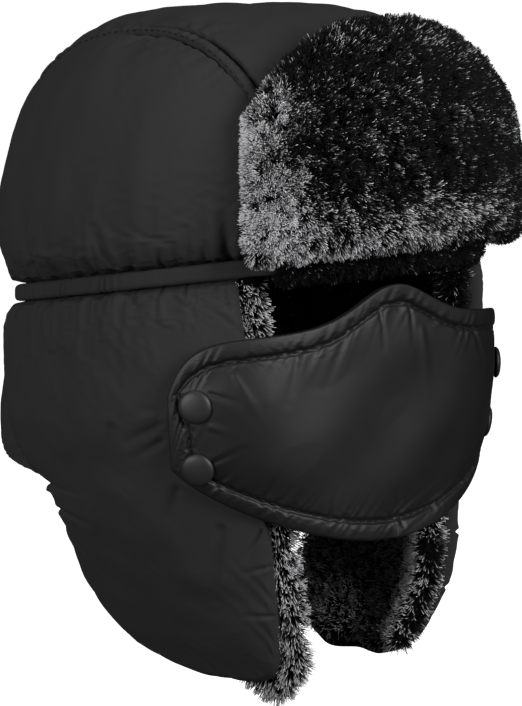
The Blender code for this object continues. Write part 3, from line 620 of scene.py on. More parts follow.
def spread(values):
    """Values of the simulated grid on the whole grid, smoothed."""
    for axis in (0, 1):
        values = np.moveaxis(values, axis, 0)
        place = np.arange(SETTLE_STRIDE * (len(values) - 1) + 1) / SETTLE_STRIDE
        low = np.minimum(place.astype(int), len(values) - 2)
        part = (place - low)[:, None, None]
        values = values[low] * (1 - part) + values[low + 1] * part
        around = np.concatenate([values[:1], values, values[-1:]])
        values = np.moveaxis((around[:-2] + around[1:-1] + around[2:]) / 3, 0, axis)
    return values


def settle(points, held, growth):
    """Let a panel's grid of points settle as cloth over its padding.

    held gives how firmly each point is held in place, 1 at the seams. growth gives how much more cloth
    there is than room for it, which buckles into gathers and wrinkles. One row and column in every
    SETTLE_STRIDE is simulated, and the rest follow.
    """
    fine = points
    points, held, growth = (field[::SETTLE_STRIDE, ::SETTLE_STRIDE] for field in (points, held, growth))
    rows, columns = points.shape[:2]
    quads = grid_quads(rows, columns).tolist()
    item = add_mesh("settling", points.reshape(-1, 3).tolist(), quads, nylon())
    for name, field in (("held", held), ("growth", 1 - growth / growth.max())):
        group = item.vertex_groups.new(name=name)
        for index, value in enumerate(field.ravel()):
            group.add([index], float(value), "REPLACE")
    cloth = item.modifiers.new("cloth", "CLOTH")
    fabric = cloth.settings
    fabric.quality = 5
    fabric.mass = 0.1
    fabric.air_damping = 1.0
    fabric.tension_stiffness = 15.0
    fabric.compression_stiffness = 15.0
    fabric.shear_stiffness = 5.0
    fabric.bending_stiffness = 0.2
    fabric.tension_damping = fabric.compression_damping = fabric.shear_damping = 1.0
    fabric.bending_damping = 0.1
    fabric.vertex_group_mass = "held"
    fabric.pin_stiffness = 1.0
    fabric.vertex_group_shrink = "growth"
    fabric.shrink_min = -float(growth.max())
    fabric.shrink_max = 0.0
    fabric.effector_weights.gravity = 0.0
    scene = bpy.context.scene
    cloth.point_cache.frame_start, cloth.point_cache.frame_end = 1, SETTLE_FRAMES
    for number in range(1, SETTLE_FRAMES + 1):
        scene.frame_set(number)
    shape = item.evaluated_get(bpy.context.evaluated_depsgraph_get()).data
    result = np.empty(rows * columns * 3, dtype=np.float32)
    shape.vertices.foreach_get("co", result)
    scene.frame_set(1)
    bpy.data.objects.remove(item)
    return fine + spread(result.reshape(rows, columns, 3) - points)


def put_on(item, body, slot, *nodes):
    """Fasten a piece to a body and hide the solids that it stands for. The slot argument is not used."""
    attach(item, body)
    if nodes:
        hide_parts(*nodes)
    return item


def stitch_row(name, points, normals, finish, body, slot):
    """Row of sewn stitches: short rounded threads that follow a line of points."""
    cloth = bpy.context.scene.hat_cloth
    runs = np.linalg.norm(np.diff(points, axis=0), axis=1)
    along = np.concatenate([[0], np.cumsum(runs)])
    number = max(int(along[-1] / (cloth.stitch * 1.35)), 1)
    starts = (np.arange(number) + 0.15) * along[-1] / number
    sides, rings = 6, np.array([0.0, 0.18, 0.5, 0.82, 1.0])
    swell = np.array([0.15, 0.85, 1.0, 0.85, 0.15])
    arch = np.array([-0.6, 0.35, 0.75, 0.35, -0.6])
    spots, faces = [], []
    for start in starts:
        places = start + rings * cloth.stitch
        line = np.stack([np.interp(places, along, points[:, k]) for k in range(3)], axis=1)
        up = np.stack([np.interp(places, along, normals[:, k]) for k in range(3)], axis=1)
        up /= np.linalg.norm(up, axis=1, keepdims=True)
        way = np.gradient(line, axis=0)
        across = np.cross(way, up)
        across /= np.linalg.norm(across, axis=1, keepdims=True)
        line = line + up * (arch * cloth.thread)[:, None]
        base = len(spots)
        for ring in range(len(rings)):
            for k in range(sides):
                turn = 2 * math.pi * k / sides
                reach = across[ring] * math.cos(turn) + up[ring] * math.sin(turn)
                spots.append(line[ring] + reach * cloth.thread * swell[ring])
        for ring in range(len(rings) - 1):
            for k in range(sides):
                a, b = base + ring * sides + k, base + ring * sides + (k + 1) % sides
                faces.append((a, b, b + sides, a + sides))
        faces.append(tuple(base + k for k in range(sides))[::-1])
        faces.append(tuple(base + (len(rings) - 1) * sides + k for k in range(sides)))
    item = add_mesh(name, spots, faces, finish)
    face_out(item)
    return put_on(item, body, slot)


# Finishes


def feed(tree, socket, value):
    if isinstance(value, Value):
        tree.links.new(value.socket, socket)
    else:
        socket.default_value = value


def both(operation):
    """Plain and reflected form of an operator that adds a Math node."""
    def plain(self, other):
        return self.math(operation, self, other)

    def reflected(self, other):
        return self.math(operation, other, self)

    return plain, reflected


class Value:
    """A socket of a node tree: Python's operators on it add Math nodes."""
    __add__, __radd__ = both("ADD")
    __sub__, __rsub__ = both("SUBTRACT")
    __mul__, __rmul__ = both("MULTIPLY")
    __pow__, __rpow__ = both("POWER")

    def __init__(self, tree, socket):
        self.tree = tree
        self.socket = socket

    def math(self, operation, first, second):
        node = self.tree.nodes.new("ShaderNodeMath")
        node.operation = operation
        for socket, value in zip(node.inputs, (first, second)):
            feed(self.tree, socket, value)
        return Value(self.tree, node.outputs[0])

    def step(self, low, high):
        """Smooth step from 0 below low to 1 above high."""
        share = (self - low) * (1 / (high - low))
        share = self.math("MINIMUM", self.math("MAXIMUM", share, 0.0), 1.0)
        return share * share * (3 - 2 * share)


class Nodes:
    """Nodes of a material or a world in the making."""

    def __init__(self, tree):
        self.tree = tree

    def node(self, kind, output, settings=None, sockets=None, **named):
        """Any node but Math: its type, the output wanted, its settings, and its sockets' values or links."""
        made = self.tree.nodes.new("ShaderNode" + kind)
        for name, value in (settings or {}).items():
            setattr(made, name, value)
        for key, value in {**(sockets or {}), **named}.items():
            feed(self.tree, made.inputs[key], value)
        return Value(self.tree, made.outputs[output])

    def mix(self, share, first, second):
        """Colour between two others. A Mix node's colour sockets share their names, so go by number."""
        return self.node("Mix", 2, {"data_type": "RGBA"}, {0: share, 6: first, 7: second})

    def unseen(self, seen_colour, lit_colour):
        """One colour for the camera and another for the light that reaches the hat."""
        return self.mix(self.node("LightPath", "Is Camera Ray"), lit_colour, seen_colour)


class Finish(Nodes):
    """A material in the making."""

    def __init__(self, name, **constants):
        self.material = bpy.data.materials.new(name)
        self.material.use_nodes = True
        super().__init__(self.material.node_tree)
        self.shader = self.tree.nodes["Principled BSDF"]
        for socket, value in constants.items():
            self.set(socket.replace("_", " "), value)

    def set(self, socket, value):
        feed(self.tree, self.shader.inputs[socket], value)

    def noise(self, scale, detail=2.0):
        place = self.node("TexCoord", "Object")
        return self.node("TexNoise", "Fac", Vector=place, Scale=scale, Detail=detail)

    def weave(self, way, scale):
        place = self.node("TexCoord", "Object")
        return self.node("TexWave", "Fac", {"bands_direction": way}, Vector=place, Scale=scale,
                         Distortion=1.2)

    def tint(self, share, rgb, gain):
        """Base colour that grows by a gain as share rises."""
        other = tuple(min(value * gain, 1) for value in rgb)
        self.set("Base Color", self.mix(share, opaque(rgb), opaque(other)))

    def bump(self, height, strength, distance):
        self.set("Normal", self.node("Bump", "Normal", Strength=strength, Distance=distance, Height=height))


def opaque(rgb):
    return (*rgb, 1.0)


def nylon_finish(name, rgb, dull=0.34):
    """Downproof nylon: a fine plain weave with a soft satin gloss that varies a little."""
    finish = Finish(name, Specular_IOR_Level=0.5)
    cloud, grain = finish.noise(38.0, 3.0), finish.noise(900.0)
    finish.tint(cloud.step(0.35, 0.75), rgb, 1.5)
    finish.set("Roughness", dull + 0.14 * cloud + 0.06 * grain)
    warp, weft = finish.weave("Z", 420.0), finish.weave("DIAGONAL", 260.0)
    finish.bump(warp * 0.12 + weft * 0.12 + grain * 0.5, 0.10, 0.0003)
    return finish.material


def thread_finish(name, rgb):
    finish = Finish(name, Specular_IOR_Level=0.3)
    twist = finish.noise(2500.0)
    finish.tint(twist, rgb, 2)
    finish.set("Roughness", 0.55 + 0.2 * twist)
    return finish.material


def fur_finish(name, root, tip):
    """Pile that runs from black roots to silver tips: the map holds each strand's tone and its length."""
    finish = Finish(name, Specular_IOR_Level=0.15)
    place = finish.node("UVMap", "UV", {"uv_map": "strand"})
    tone, along = (finish.node("SeparateXYZ", axis, Vector=place) for axis in ("X", "Y"))
    silver = along.step(0.55, 1.0) * tone ** 1.8
    finish.set("Base Color", finish.mix(silver, opaque(root), opaque(tip)))
    finish.set("Roughness", 0.75 - 0.25 * silver)
    return finish.material


def cap_finish(rgb):
    """Enamelled snap cap with faint marks of handling."""
    finish = Finish("snap_cap", Coat_Roughness=0.25)
    cloud, scuff = finish.noise(220.0, 4.0), finish.noise(1500.0)
    finish.tint(cloud, rgb, 1.35)
    finish.set("Roughness", 0.38 + 0.12 * cloud + 0.08 * scuff)
    finish.bump(scuff, 0.08, 0.0002)
    return finish.material


def metal_finish(rgb):
    """Pressed steel of the sockets, studs and posts."""
    finish = Finish("snap_metal", Metallic=1.0)
    cloud = finish.noise(600.0, 3.0)
    dull = tuple(value * 0.7 for value in rgb)
    finish.set("Base Color", finish.mix(cloud, opaque(dull), opaque(rgb)))
    finish.set("Roughness", 0.25 + 0.2 * cloud)
    return finish.material


def kept(name, make, *values):
    """A finish by its name, made when it is first asked for."""
    return bpy.data.materials.get(name) or make(name, *values)


def nylon():
    return kept("nylon_shell", nylon_finish, bpy.context.scene.hat_cloth.nylon)


def thread():
    return kept("thread", thread_finish, bpy.context.scene.hat_cloth.thread_colour)


def pile():
    fur = bpy.context.scene.hat_fur
    return kept("silver_tip_fur", fur_finish, fur.root, fur.tip)


# Fur


def corner_normals(points, faces):
    """Normal at each point, from the faces round it."""
    a, b, c, d = (points[faces[:, k]] for k in range(4))
    flat = np.cross(c - a, d - b)
    normals = np.zeros_like(points)
    for k in range(4):
        np.add.at(normals, faces[:, k], flat)
    return normals / np.maximum(np.linalg.norm(normals, axis=1, keepdims=True), 1e-12), flat


def furry(name, outer, inner, weight, number, pile_length, comb, tone, seed):
    """Fur piece: a closed skin with strands on it.

    weight gives how thickly the skin's points are furred, comb the way that the pile leans, and tone
    how silver its tips are, which on the visor and the linings also holds painted light and painted shade.
    A face whose weights add up to less than nothing stays bare.
    """
    fur = bpy.context.scene.hat_fur
    rows, columns = outer.shape[:2]
    skin = np.concatenate([outer.reshape(-1, 3), inner.reshape(-1, 3)])
    quads = padded_faces(rows, columns)
    normals, flat = corner_normals(skin, quads)
    if np.einsum("ij,ij->", flat, skin[quads].mean(axis=1) - skin.mean(axis=0)) < 0:
        quads, normals = quads[:, ::-1], -normals
    rng = np.random.default_rng(seed)
    chance = np.linalg.norm(flat, axis=1) * np.maximum(weight[quads].mean(axis=1), 0)
    picked = quads[rng.choice(len(quads), number, p=chance / chance.sum())]
    a, b = rng.random(number)[:, None], rng.random(number)[:, None]
    shares = ((1 - a) * (1 - b), a * (1 - b), a * b, (1 - a) * b)

    def read(values):
        return sum(values[picked[:, k]] * (part if values.ndim > 1 else part[:, 0])
                   for k, part in enumerate(shares))

    root, up = read(skin), read(normals)
    up /= np.linalg.norm(up, axis=1, keepdims=True)
    lean = read(np.broadcast_to(comb, skin.shape))
    tuft = np.stack([waves(root, TUFT, seed + k) for k in range(1, 4)], axis=1)
    curl = np.stack([waves(root, CURL, seed + k) for k in range(4, 7)], axis=1)
    way = up + lean + 0.34 * tuft + 0.55 * curl + 0.16 * rng.normal(size=(number, 3))
    way -= up * np.minimum(np.einsum("ij,ij->i", way, up) - 0.25, 0)[:, None]
    way /= np.linalg.norm(way, axis=1, keepdims=True)
    size = pile_length * (0.78 + 0.20 * rng.random(number) + 0.24 * curl[:, 0])
    tip = root + way * size[:, None]
    first = np.cross(way, rng.normal(size=(number, 3)))
    first /= np.linalg.norm(first, axis=1, keepdims=True)
    second = np.cross(way, first)
    thick = fur.strand * (0.75 + 0.5 * rng.random(number))
    rings = []
    for centre, part in ((root - up * ROOT_DEPTH, 1.0), (tip, TIP_SHARE)):
        for k in range(3):
            turn = 2 * math.pi * k / 3
            out = first * math.cos(turn) + second * math.sin(turn)
            rings.append(centre + out * (thick * part)[:, None])
    strands = np.stack(rings, axis=1).reshape(-1, 3)
    start = len(skin) + 6 * np.arange(number)[:, None]
    walls = (start[:, :, None] + np.array([[0, 1, 4, 3], [1, 2, 5, 4], [2, 0, 3, 5]])).reshape(-1, 4)
    ends = (start[:, :, None] + np.array([[2, 1, 0], [3, 4, 5]])).reshape(-1, 3)
    faces = quads.tolist() + walls.tolist() + ends.tolist()
    item = add_mesh(name, np.concatenate([skin, strands]).tolist(), faces, pile())
    grizzle = 0.5 * rng.normal(size=number) + 0.9 * curl[:, 0] + 0.4 * waves(root, GRIZZLE, seed + 9)
    shade = read(np.broadcast_to(tone, (len(skin),)))
    silver = 0.02 + 0.98 * ease((shade + 0.42 * grizzle - 0.22) / 0.6)
    along = np.concatenate([np.zeros(len(skin)), np.tile([0.02, 0.02, 0.02, 1.0, 1.0, 1.0], number)])
    tones = np.concatenate([np.full(len(skin), 0.02), np.repeat(silver, 6)])
    corners = np.empty(len(item.data.loops), dtype=np.int32)
    item.data.loops.foreach_get("vertex_index", corners)
    layer = item.data.uv_layers.new(name="strand")
    layer.data.foreach_set("uv", np.stack([tones, along], axis=1)[corners].astype(np.float32).ravel())
    return item


# Pieces


def gathered(turn):
    """1 where the elastic gathers the cloth, 0 towards the front."""
    return ease((np.abs(turn) - bpy.context.scene.hat_pattern.elastic_angle + 0.2) / 0.3)


def crown_relief(points, runs, seams, bands, seed):
    """Swell of a crown panel, with puckers at its seams and gathers at the band."""
    cloth, sizes = bpy.context.scene.hat_cloth, bpy.context.scene.hat_pattern
    seam, band = to_edges(runs, seams), to_edges(runs, bands)
    turn = np.arctan2(points[..., 0], -points[..., 1])
    swell = cloth.crown_puff * (1 - np.exp(-seam / 0.008)) * (1 - np.exp(-band / 0.006))
    swell -= cloth.groove * ((1 - ease((seam - 0.0028) / 0.0026)) + np.exp(-(band / GROOVE_WIDTH) ** 2))
    along_seam = runs["top"] if "first" in seams and len(seams) == 2 else runs["first"] + runs["top"]
    along_band = turn * sizes.crown_half_width
    reach = 0.0085 * (1.0 + 0.5 * folds(along_seam, 0.031, seed))
    pucker = cloth.pucker * folds(along_seam, 0.0105, seed + 1)
    pucker = pucker * np.exp(-seam / reach) * ease(seam / 0.0015)
    near = 0.010 * (1.0 + 0.6 * folds(along_band, 0.023, seed + 2))
    gather = cloth.gather * (0.35 + 0.65 * gathered(turn)) * folds(along_band, 0.0066, seed + 3)
    gather = gather * np.exp(-band / near)
    tug = 0.6 * cloth.gather * folds(along_band, 0.026, seed + 4) * np.exp(-band / 0.028)
    wave = cloth.crumple * waves(points, 0.075, seed + 5)
    wave = wave + 0.35 * cloth.crumple * waves(points, 0.030, seed + 6)
    return swell + pucker + (gather + tug) * ease(band / 0.001) + wave * ease(nearest(seam, band) / 0.016)


class HAT_OT_crown(bpy.types.Operator):
    """Make the crown's three padded panels, its felled seams and its fur lining"""
    bl_idname = "hat.crown"
    bl_label = "Crown"

    def execute(self, context):
        cut = pattern()
        self.panel(cut, "crown_top_cloth", cut.crown_top, (163, 322), ("first", "last"), ("top", "low"), 11,
                   ("crown_top_panel", "crown_wadding"))
        for name, side in SIDES:
            def way(u, v, side=side):
                return cut.crown_side(side, u, v)
            self.panel(cut, "crown_side_cloth_" + name, way, (268, 199), ("first", "last", "low"), ("top",),
                       23 + side, ("crown_side_panel_" + name,))
            self.seam(cut, name, side)
        self.lining(cut, context.scene.hat_fur)
        return {"FINISHED"}

    def panel(self, cut, name, way, grid, seams, bands, seed, nodes):
        u, v = np.meshgrid(lines(grid[0]), lines(grid[1]))
        flat = cut.dome(way(u, v), 0 * u)
        runs = edge_runs(flat)
        stand = crown_relief(flat, runs, seams, bands, seed)
        for side in (-1, 1):
            stand = stand + CROWN_FOLD_GAIN * fold_relief(flat, CROWN_FOLDS, side)
        outer, inner = cut.dome(way(u, v), stand), cut.dome(way(u, v), 0 * u + CROWN_INSIDE)
        seam, band = to_edges(runs, seams), to_edges(runs, bands)
        held = 0.26 + 0.74 * (1 - ease(nearest(seam, band) / 0.003))
        outer = settle(outer, held, 0.003 + 0.08 * np.exp(-band / 0.009) + 0.06 * np.exp(-seam / 0.006))
        item = put_on(pad(name, outer, inner, nylon()), "hat", "nylon_shell", *nodes)

    def seam(self, cut, name, side):
        """Raised felled seam: a narrow rounded ridge, puckered by the stitches along both its edges."""
        rise = np.linspace(0.0, math.pi, 420)[None, :]
        across = np.linspace(-1, 1, 13)[:, None]
        spacing = cut.s.seam_spacing + WELT_HALF * across + 0 * rise
        way = cut.seam(rise + 0 * across, side, spacing)
        run = edge_runs(cut.dome(way, 0 * spacing))["first"]
        ridge = WELT_HEIGHT * (1 - np.abs(across) ** WELT_ROUND)
        ridge = ridge + 0.0006 * folds(run, 0.0085, 41 + side) * (1 - across ** 2)
        top, low = cut.dome(way, 0.0006 + ridge), cut.dome(way, WELT_FOOT + 0 * spacing)
        item = pad("crown_seam_" + name, top, low, nylon())
        put_on(item, "hat", "nylon_shell", "crown_welt_" + name)
        lift = 0.0004 + WELT_HEIGHT * (1 - WELT_STITCH ** WELT_ROUND)
        for tag, place in (("inner", -WELT_STITCH), ("outer", WELT_STITCH)):
            spacing = cut.s.seam_spacing + WELT_HALF * place + 0 * rise[0]
            way = cut.seam(rise[0], side, spacing)
            points = cut.dome(way, lift + 0 * spacing)
            normals = cut.dome(way, lift + 0.001 + 0 * spacing) - points
            stitch_row("crown_stitches_" + name + "_" + tag, points[6:-6], normals[6:-6], thread(), "hat",
                       "nylon_shell")

    def lining(self, cut, fur):
        """Fur inside the crown, which lines a bowl, and where it turns out over the brow."""
        turn, rise = np.meshgrid(np.linspace(0, 2 * math.pi, 121), np.linspace(0.0, math.pi / 2 - 0.02, 40))
        flat = np.cos(rise)
        way = np.stack([flat * np.sin(turn), -flat * np.cos(turn), np.sin(rise)], axis=-1)
        skin, back = (cut.dome(way, 0 * turn + stand) for stand in (CROWN_FUR_SKIN, CROWN_FUR_BACK))
        drop = np.array([0, 0, cut.s.band_height])
        skin, back = (np.concatenate([face[:1] - drop, face]) for face in (skin, back))
        weight = np.repeat([1.0, 0.0], skin[..., 0].size)
        # Nearly black tips here are painted shade inside the crown.
        item = furry("crown_fur", skin, back, weight, fur.crown_strands, fur.lining_pile,
                     np.array([0, 0, -0.25]), -0.12, 51)
        put_on(item, "hat", "faux_fur", "crown_fur_lining")
        turn, rise = np.meshgrid(cut.s.visor_end * np.linspace(-0.8, 0.8, 161), np.linspace(-1, 1, 11))
        round_out = np.sqrt(np.clip(1 - 0.96 * rise ** 2, 0, 1))
        tall = rise * (cut.s.band_height / 2 + 0.0015) - 0.001
        skin = cut.band(turn, BROW_STAND + BROW_ROUND * round_out, tall)
        back = cut.band(turn, 0 * turn + BROW_BACK, tall)
        weight = np.repeat([1.0, 0.0], skin[..., 0].size)
        # The brow pile's tips are made black: painted shade under the visor.
        item = furry("brow_pile", skin, back, weight, fur.brow_strands, 0.7 * fur.lining_pile,
                     np.array([0, 0, -0.4]), -0.22, 55)
        put_on(item, "hat", "faux_fur", "crown_fur_lining")


class HAT_OT_headband(bpy.types.Operator):
    """Make the headband and the gathered casing of its elastic"""
    bl_idname = "hat.headband"
    bl_label = "Headband"

    def execute(self, context):
        cut, cloth = pattern(), context.scene.hat_cloth
        start = cut.s.elastic_angle
        self.strip(cut, "headband_cloth", -start, start, 0.25 * cloth.gather, 0.019, 61, "headband")
        self.strip(cut, "elastic_casing_cloth", start, 2 * math.pi - start, 0.8 * cloth.gather, 0.0046, 67,
                   "elastic_casing", "back_elastic")
        return {"FINISHED"}

    def strip(self, cut, name, start, end, height, spacing, seed, *nodes):
        turn, rise = np.meshgrid(np.linspace(start, end, 700), np.linspace(-1, 1, 15))
        run = turn * cut.s.crown_half_width
        ripple = folds(run + 0.0012 * folds(run, 0.017, seed) * rise, spacing, seed)
        crown = np.sqrt(np.clip(1 - 0.96 * rise ** 4, 0, 1))
        stand = BAND_STAND * crown + height * ripple * crown
        tall = cut.s.band_height / 2 * (1.0 + 0.06 * ripple)
        outer = cut.band(turn, stand, rise * tall)
        inner = cut.band(turn, 0 * turn + BAND_INSIDE, rise * tall * 0.95)
        put_on(pad(name, outer, inner, nylon()), "hat", "nylon_shell", *nodes)


def skirt_relief(points, turn, runs, free, seams, seed):
    """Swell of a flap or the neck panel, with gathers under the band and pulls at its edges."""
    cloth, sizes = bpy.context.scene.hat_cloth, bpy.context.scene.hat_pattern
    band, edge, seam = runs["top"], to_edges(runs, free), to_edges(runs, seams)
    behind = gathered(turn)
    along = turn * sizes.crown_half_width
    swell = cloth.flap_puff * (1 - np.exp(-band / 0.006)) * (1 - np.exp(-seam / 0.012))
    swell -= cloth.groove * np.exp(-(band / GROOVE_WIDTH) ** 2)
    near = 0.009 * (1.0 + 0.6 * folds(along, 0.021, seed))
    gather = cloth.gather * (0.30 + 0.70 * behind) * folds(along, 0.0072, seed + 1) * np.exp(-band / near)
    tug = 0.5 * cloth.gather * (0.3 + 0.7 * behind) * folds(along, 0.024, seed + 2) * np.exp(-band / 0.022)
    pull = cloth.pucker * folds(runs["top"] + runs["first"], 0.014, seed + 3) * np.exp(-edge / 0.010)
    sewn = cloth.pucker * folds(runs["top"], 0.012, seed + 4) * np.exp(-seam / 0.009)
    wave = cloth.crumple * waves(points, 0.085, seed + 5)
    wave = wave + 0.4 * cloth.crumple * waves(points, 0.032, seed + 6)
    soft = swell + gather + tug + pull + sewn + wave * ease(nearest(edge, band, seam) / 0.02)
    return soft - rounded(edge, 0.0045) - 0.6 * rounded(seam, 0.002)


def skirt_hold(runs, under):
    """How firmly a flap or the neck panel is held, and how much cloth is gathered into it.

    under marks where the mask lies on it and holds it flat.
    """
    edge = to_edges(runs, ("first", "last", "top", "low"))
    held = 0.30 + 0.5 * under
    held = held + (1 - held) * (1 - ease(edge / 0.003))
    return held, (0.003 + 0.10 * np.exp(-runs["top"] / 0.010)) * (1 - 0.7 * under)


class HAT_OT_skirt(bpy.types.Operator):
    """Make the ear flaps and the neck panel, padded outside and furred inside"""
    bl_idname = "hat.skirt"
    bl_label = "Ear flaps and neck"

    def execute(self, context):
        cut, fur = pattern(), context.scene.hat_fur
        for name, side in SIDES:
            self.flap(cut, name, side)
            self.flap_fur(cut, fur, name, side)
        self.neck(cut, fur)
        return {"FINISHED"}

    def flap(self, cut, name, side):
        u, v = np.meshgrid(lines(229), lines(271))
        turn, depth = cut.flap(u, v)
        flat = cut.skirt(side * turn, depth, 0 * u)
        runs = edge_runs(flat)
        free = ease((v - 0.5) / 0.04)
        runs["seam"], runs["rear"] = runs["last"] + 0.05 * free, runs["last"] + 0.05 * (1 - free)
        stand = skirt_relief(flat, turn, runs, ("first", "low", "rear"), ("seam",), 71 + side)
        stand = stand + FLAP_FOLD_GAIN * fold_relief(flat, FLAP_FOLDS, side)
        under = ease((math.radians(66) - turn) / 0.12) * ease((depth - 0.015) / 0.02)
        under = under * ease((0.135 - depth) / 0.02)
        stand = stand - under * np.maximum(stand - UNDER_MASK, 0)
        for level in LEVELS:
            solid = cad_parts["snap_stud_" + name + "_" + level].data
            stud = np.mean([vertex.co for vertex in solid.vertices], axis=0)
            near = np.exp(-(np.linalg.norm(flat - stud, axis=-1) / STUD_DIMPLE) ** 4)
            stand, under = stand * (1 - near), np.maximum(under, near)
        outer, inner = (cut.skirt(side * turn, depth, face) for face in (stand, 0 * u + SKIRT_INSIDE))
        outer = settle(outer, *skirt_hold(runs, under))
        item = pad("ear_flap_cloth_" + name, outer, inner, nylon())
        put_on(item, "hat", "nylon_shell", "ear_flap_shell_" + name, "ear_flap_wadding_" + name)

    def flap_fur(self, cut, fur, name, side):
        u, v = np.meshgrid(lines(90), lines(101))
        away = ease((u - 0.35) / 0.2)
        turn, depth = cut.flap(u * 0.96, v * (1 - 0.05 * away), 0.0092 / cut.s.crown_front, 0.003)
        depth = depth - side * 0.0085 * np.exp(-((u - 0.28) / 0.17) ** 2) * v ** 6
        edge = edge_runs(cut.skirt(side * turn, depth, 0 * u - 0.0098))
        rim = nearest(edge["first"], edge["low"])
        turned = 0.0023 * rounded(rim, 0.004) / 0.004
        near, far = (cut.skirt(side * turn, depth, stand)
                     for stand in (SKIRT_FUR_BACK - turned, SKIRT_FUR_SKIN + turned))
        shown = (1 - ease((rim - 0.012) / 0.003)) * (1 - away)
        weight = np.concatenate([1.3 * shown.ravel(), np.ones(far[..., 0].size)])
        inside = np.exp(-rim / 0.03)
        # The inner pile's high tone is painted light: it stands in for light that the far flap's inside
        # doesn't get.
        lit_tone = np.concatenate([0.42 + 0.24 * shown.ravel(), 0.9 - 0.1 * inside.ravel()])
        # Painted shade on the left flap, the far one: its tips are darkened towards the band and along its
        # turned rim.
        if side > 0:
            lit_tone = lit_tone * np.tile(0.2 + 0.8 * ease((v - 0.3) / 0.2).ravel(), 2)
            lit_tone[:u.size] *= 0.45
        item = furry("flap_pile_" + name, near, far, weight, fur.flap_strands, fur.lining_pile,
                     LINING_COMB, lit_tone, 81 + side)
        put_on(item, "hat", "faux_fur", "ear_flap_fur_" + name)

    def neck(self, cut, fur):
        u, v = np.meshgrid(lines(220), lines(142))
        turn, depth = cut.neck(u, v)
        flat = cut.skirt(turn, depth, 0 * u)
        runs = edge_runs(flat)
        stand = skirt_relief(flat, turn, runs, ("low",), ("first", "last"), 91)
        outer, inner = cut.skirt(turn, depth, stand), cut.skirt(turn, depth, 0 * u + SKIRT_INSIDE)
        outer = settle(outer, *skirt_hold(runs, 0 * u))
        item = pad("neck_cloth", outer, inner, nylon())
        put_on(item, "hat", "nylon_shell", "neck_panel", "neck_wadding")
        u, v = np.meshgrid(lines(70), lines(50))
        turn, depth = cut.neck(u, v)
        near, far = (cut.skirt(turn, depth, 0 * u + stand) for stand in (SKIRT_FUR_BACK, SKIRT_FUR_SKIN))
        weight = np.repeat([0.0, 1.0], u.size)
        item = furry("neck_pile", near, far, weight, fur.neck_strands, fur.lining_pile, LINING_COMB, 0.3, 95)
        put_on(item, "hat", "faux_fur", "neck_fur_lining")


class HAT_OT_visor(bpy.types.Operator):
    """Make the turned-up visor: its nylon back and its fur face"""
    bl_idname = "hat.visor"
    bl_label = "Visor"

    def execute(self, context):
        cut, fur = pattern(), context.scene.hat_fur
        u, v = np.meshgrid(lines(120), lines(80))
        turn, height = cut.visor_place(u, v)
        outer, inner = (cut.visor(turn, height, 0 * u + face) for face in (VISOR_OUTSIDE, VISOR_INSIDE))
        put_on(pad("visor_cloth", outer, inner, nylon()), "visor", "nylon_shell", "visor_shell",
               "visor_interlining")
        for quarter in range(VISOR_QUARTERS):
            self.pile(cut, fur, quarter)
        return {"FINISHED"}

    def pile(self, cut, fur, quarter):
        """Fur on one quarter of the visor, counted from the wearer's right."""
        columns = VISOR_QUARTER_COLUMNS
        u, v = np.meshgrid(lines(VISOR_QUARTERS * columns + 1, 0.7), lines(70, 0.7))
        turn, height = cut.visor_place(0.5 + (u - 0.5) * 0.95, 0.012 + 0.951 * v)
        edge = edge_runs(cut.visor(turn, height, 0 * u))
        rim = nearest(*edge.values())
        stand = VISOR_SKIN + VISOR_SKIN_ROUND * (1 - rounded(rim, 0.012) / 0.012)
        # Painted light: the tips are made more silver along the visor's right end, which faces the key lamp,
        # and in a band just above its lower edge. Towards the left end this fades into painted shade.
        painted_light_share = 1 - 0.72 * ease((u - 0.35) / 0.5)
        above = (edge["top"] - 0.003 - 0.005 * u) / (0.013 - 0.006 * u)
        painted_edge_light = 0.56 * np.exp(-(edge["first"] / 0.020) ** 2) + 0.48 * painted_light_share * np.exp(-above ** 2)
        lit_tone = np.minimum(painted_edge_light, 0.56) + 0.06 * np.exp(-rim / 0.008) * painted_light_share - 0.09
        lit_tone = lit_tone - 0.05 * ease((u - 0.5) / 0.4)
        part = slice(columns * quarter, columns * (quarter + 1) + 1)
        front, back = (cut.visor(turn, height, face)[:, part] for face in (stand, 0 * u + VISOR_OUTSIDE))
        bare = np.zeros(front.shape[:2])
        # No strands on the walls between quarters, which would come out through the visor's back
        bare[:, 0], bare[:, -1] = -(quarter > 0), -(quarter < VISOR_QUARTERS - 1)
        weight = np.concatenate([np.ones(bare.size), bare.ravel()])
        tone = np.tile(lit_tone[:, part].ravel(), 2)
        low = np.tile(np.exp(-edge["top"] / 0.008)[:, part].ravel(), 2)
        comb = np.stack([0 * low, 0 * low, -0.12 - 0.4 * low], axis=1)
        item = furry("visor_pile_" + str(quarter + 1), front, back, weight, fur.visor_strands,
                     fur.visor_pile, comb, tone, 101)
        put_on(item, "visor", "faux_fur", "visor_fur")


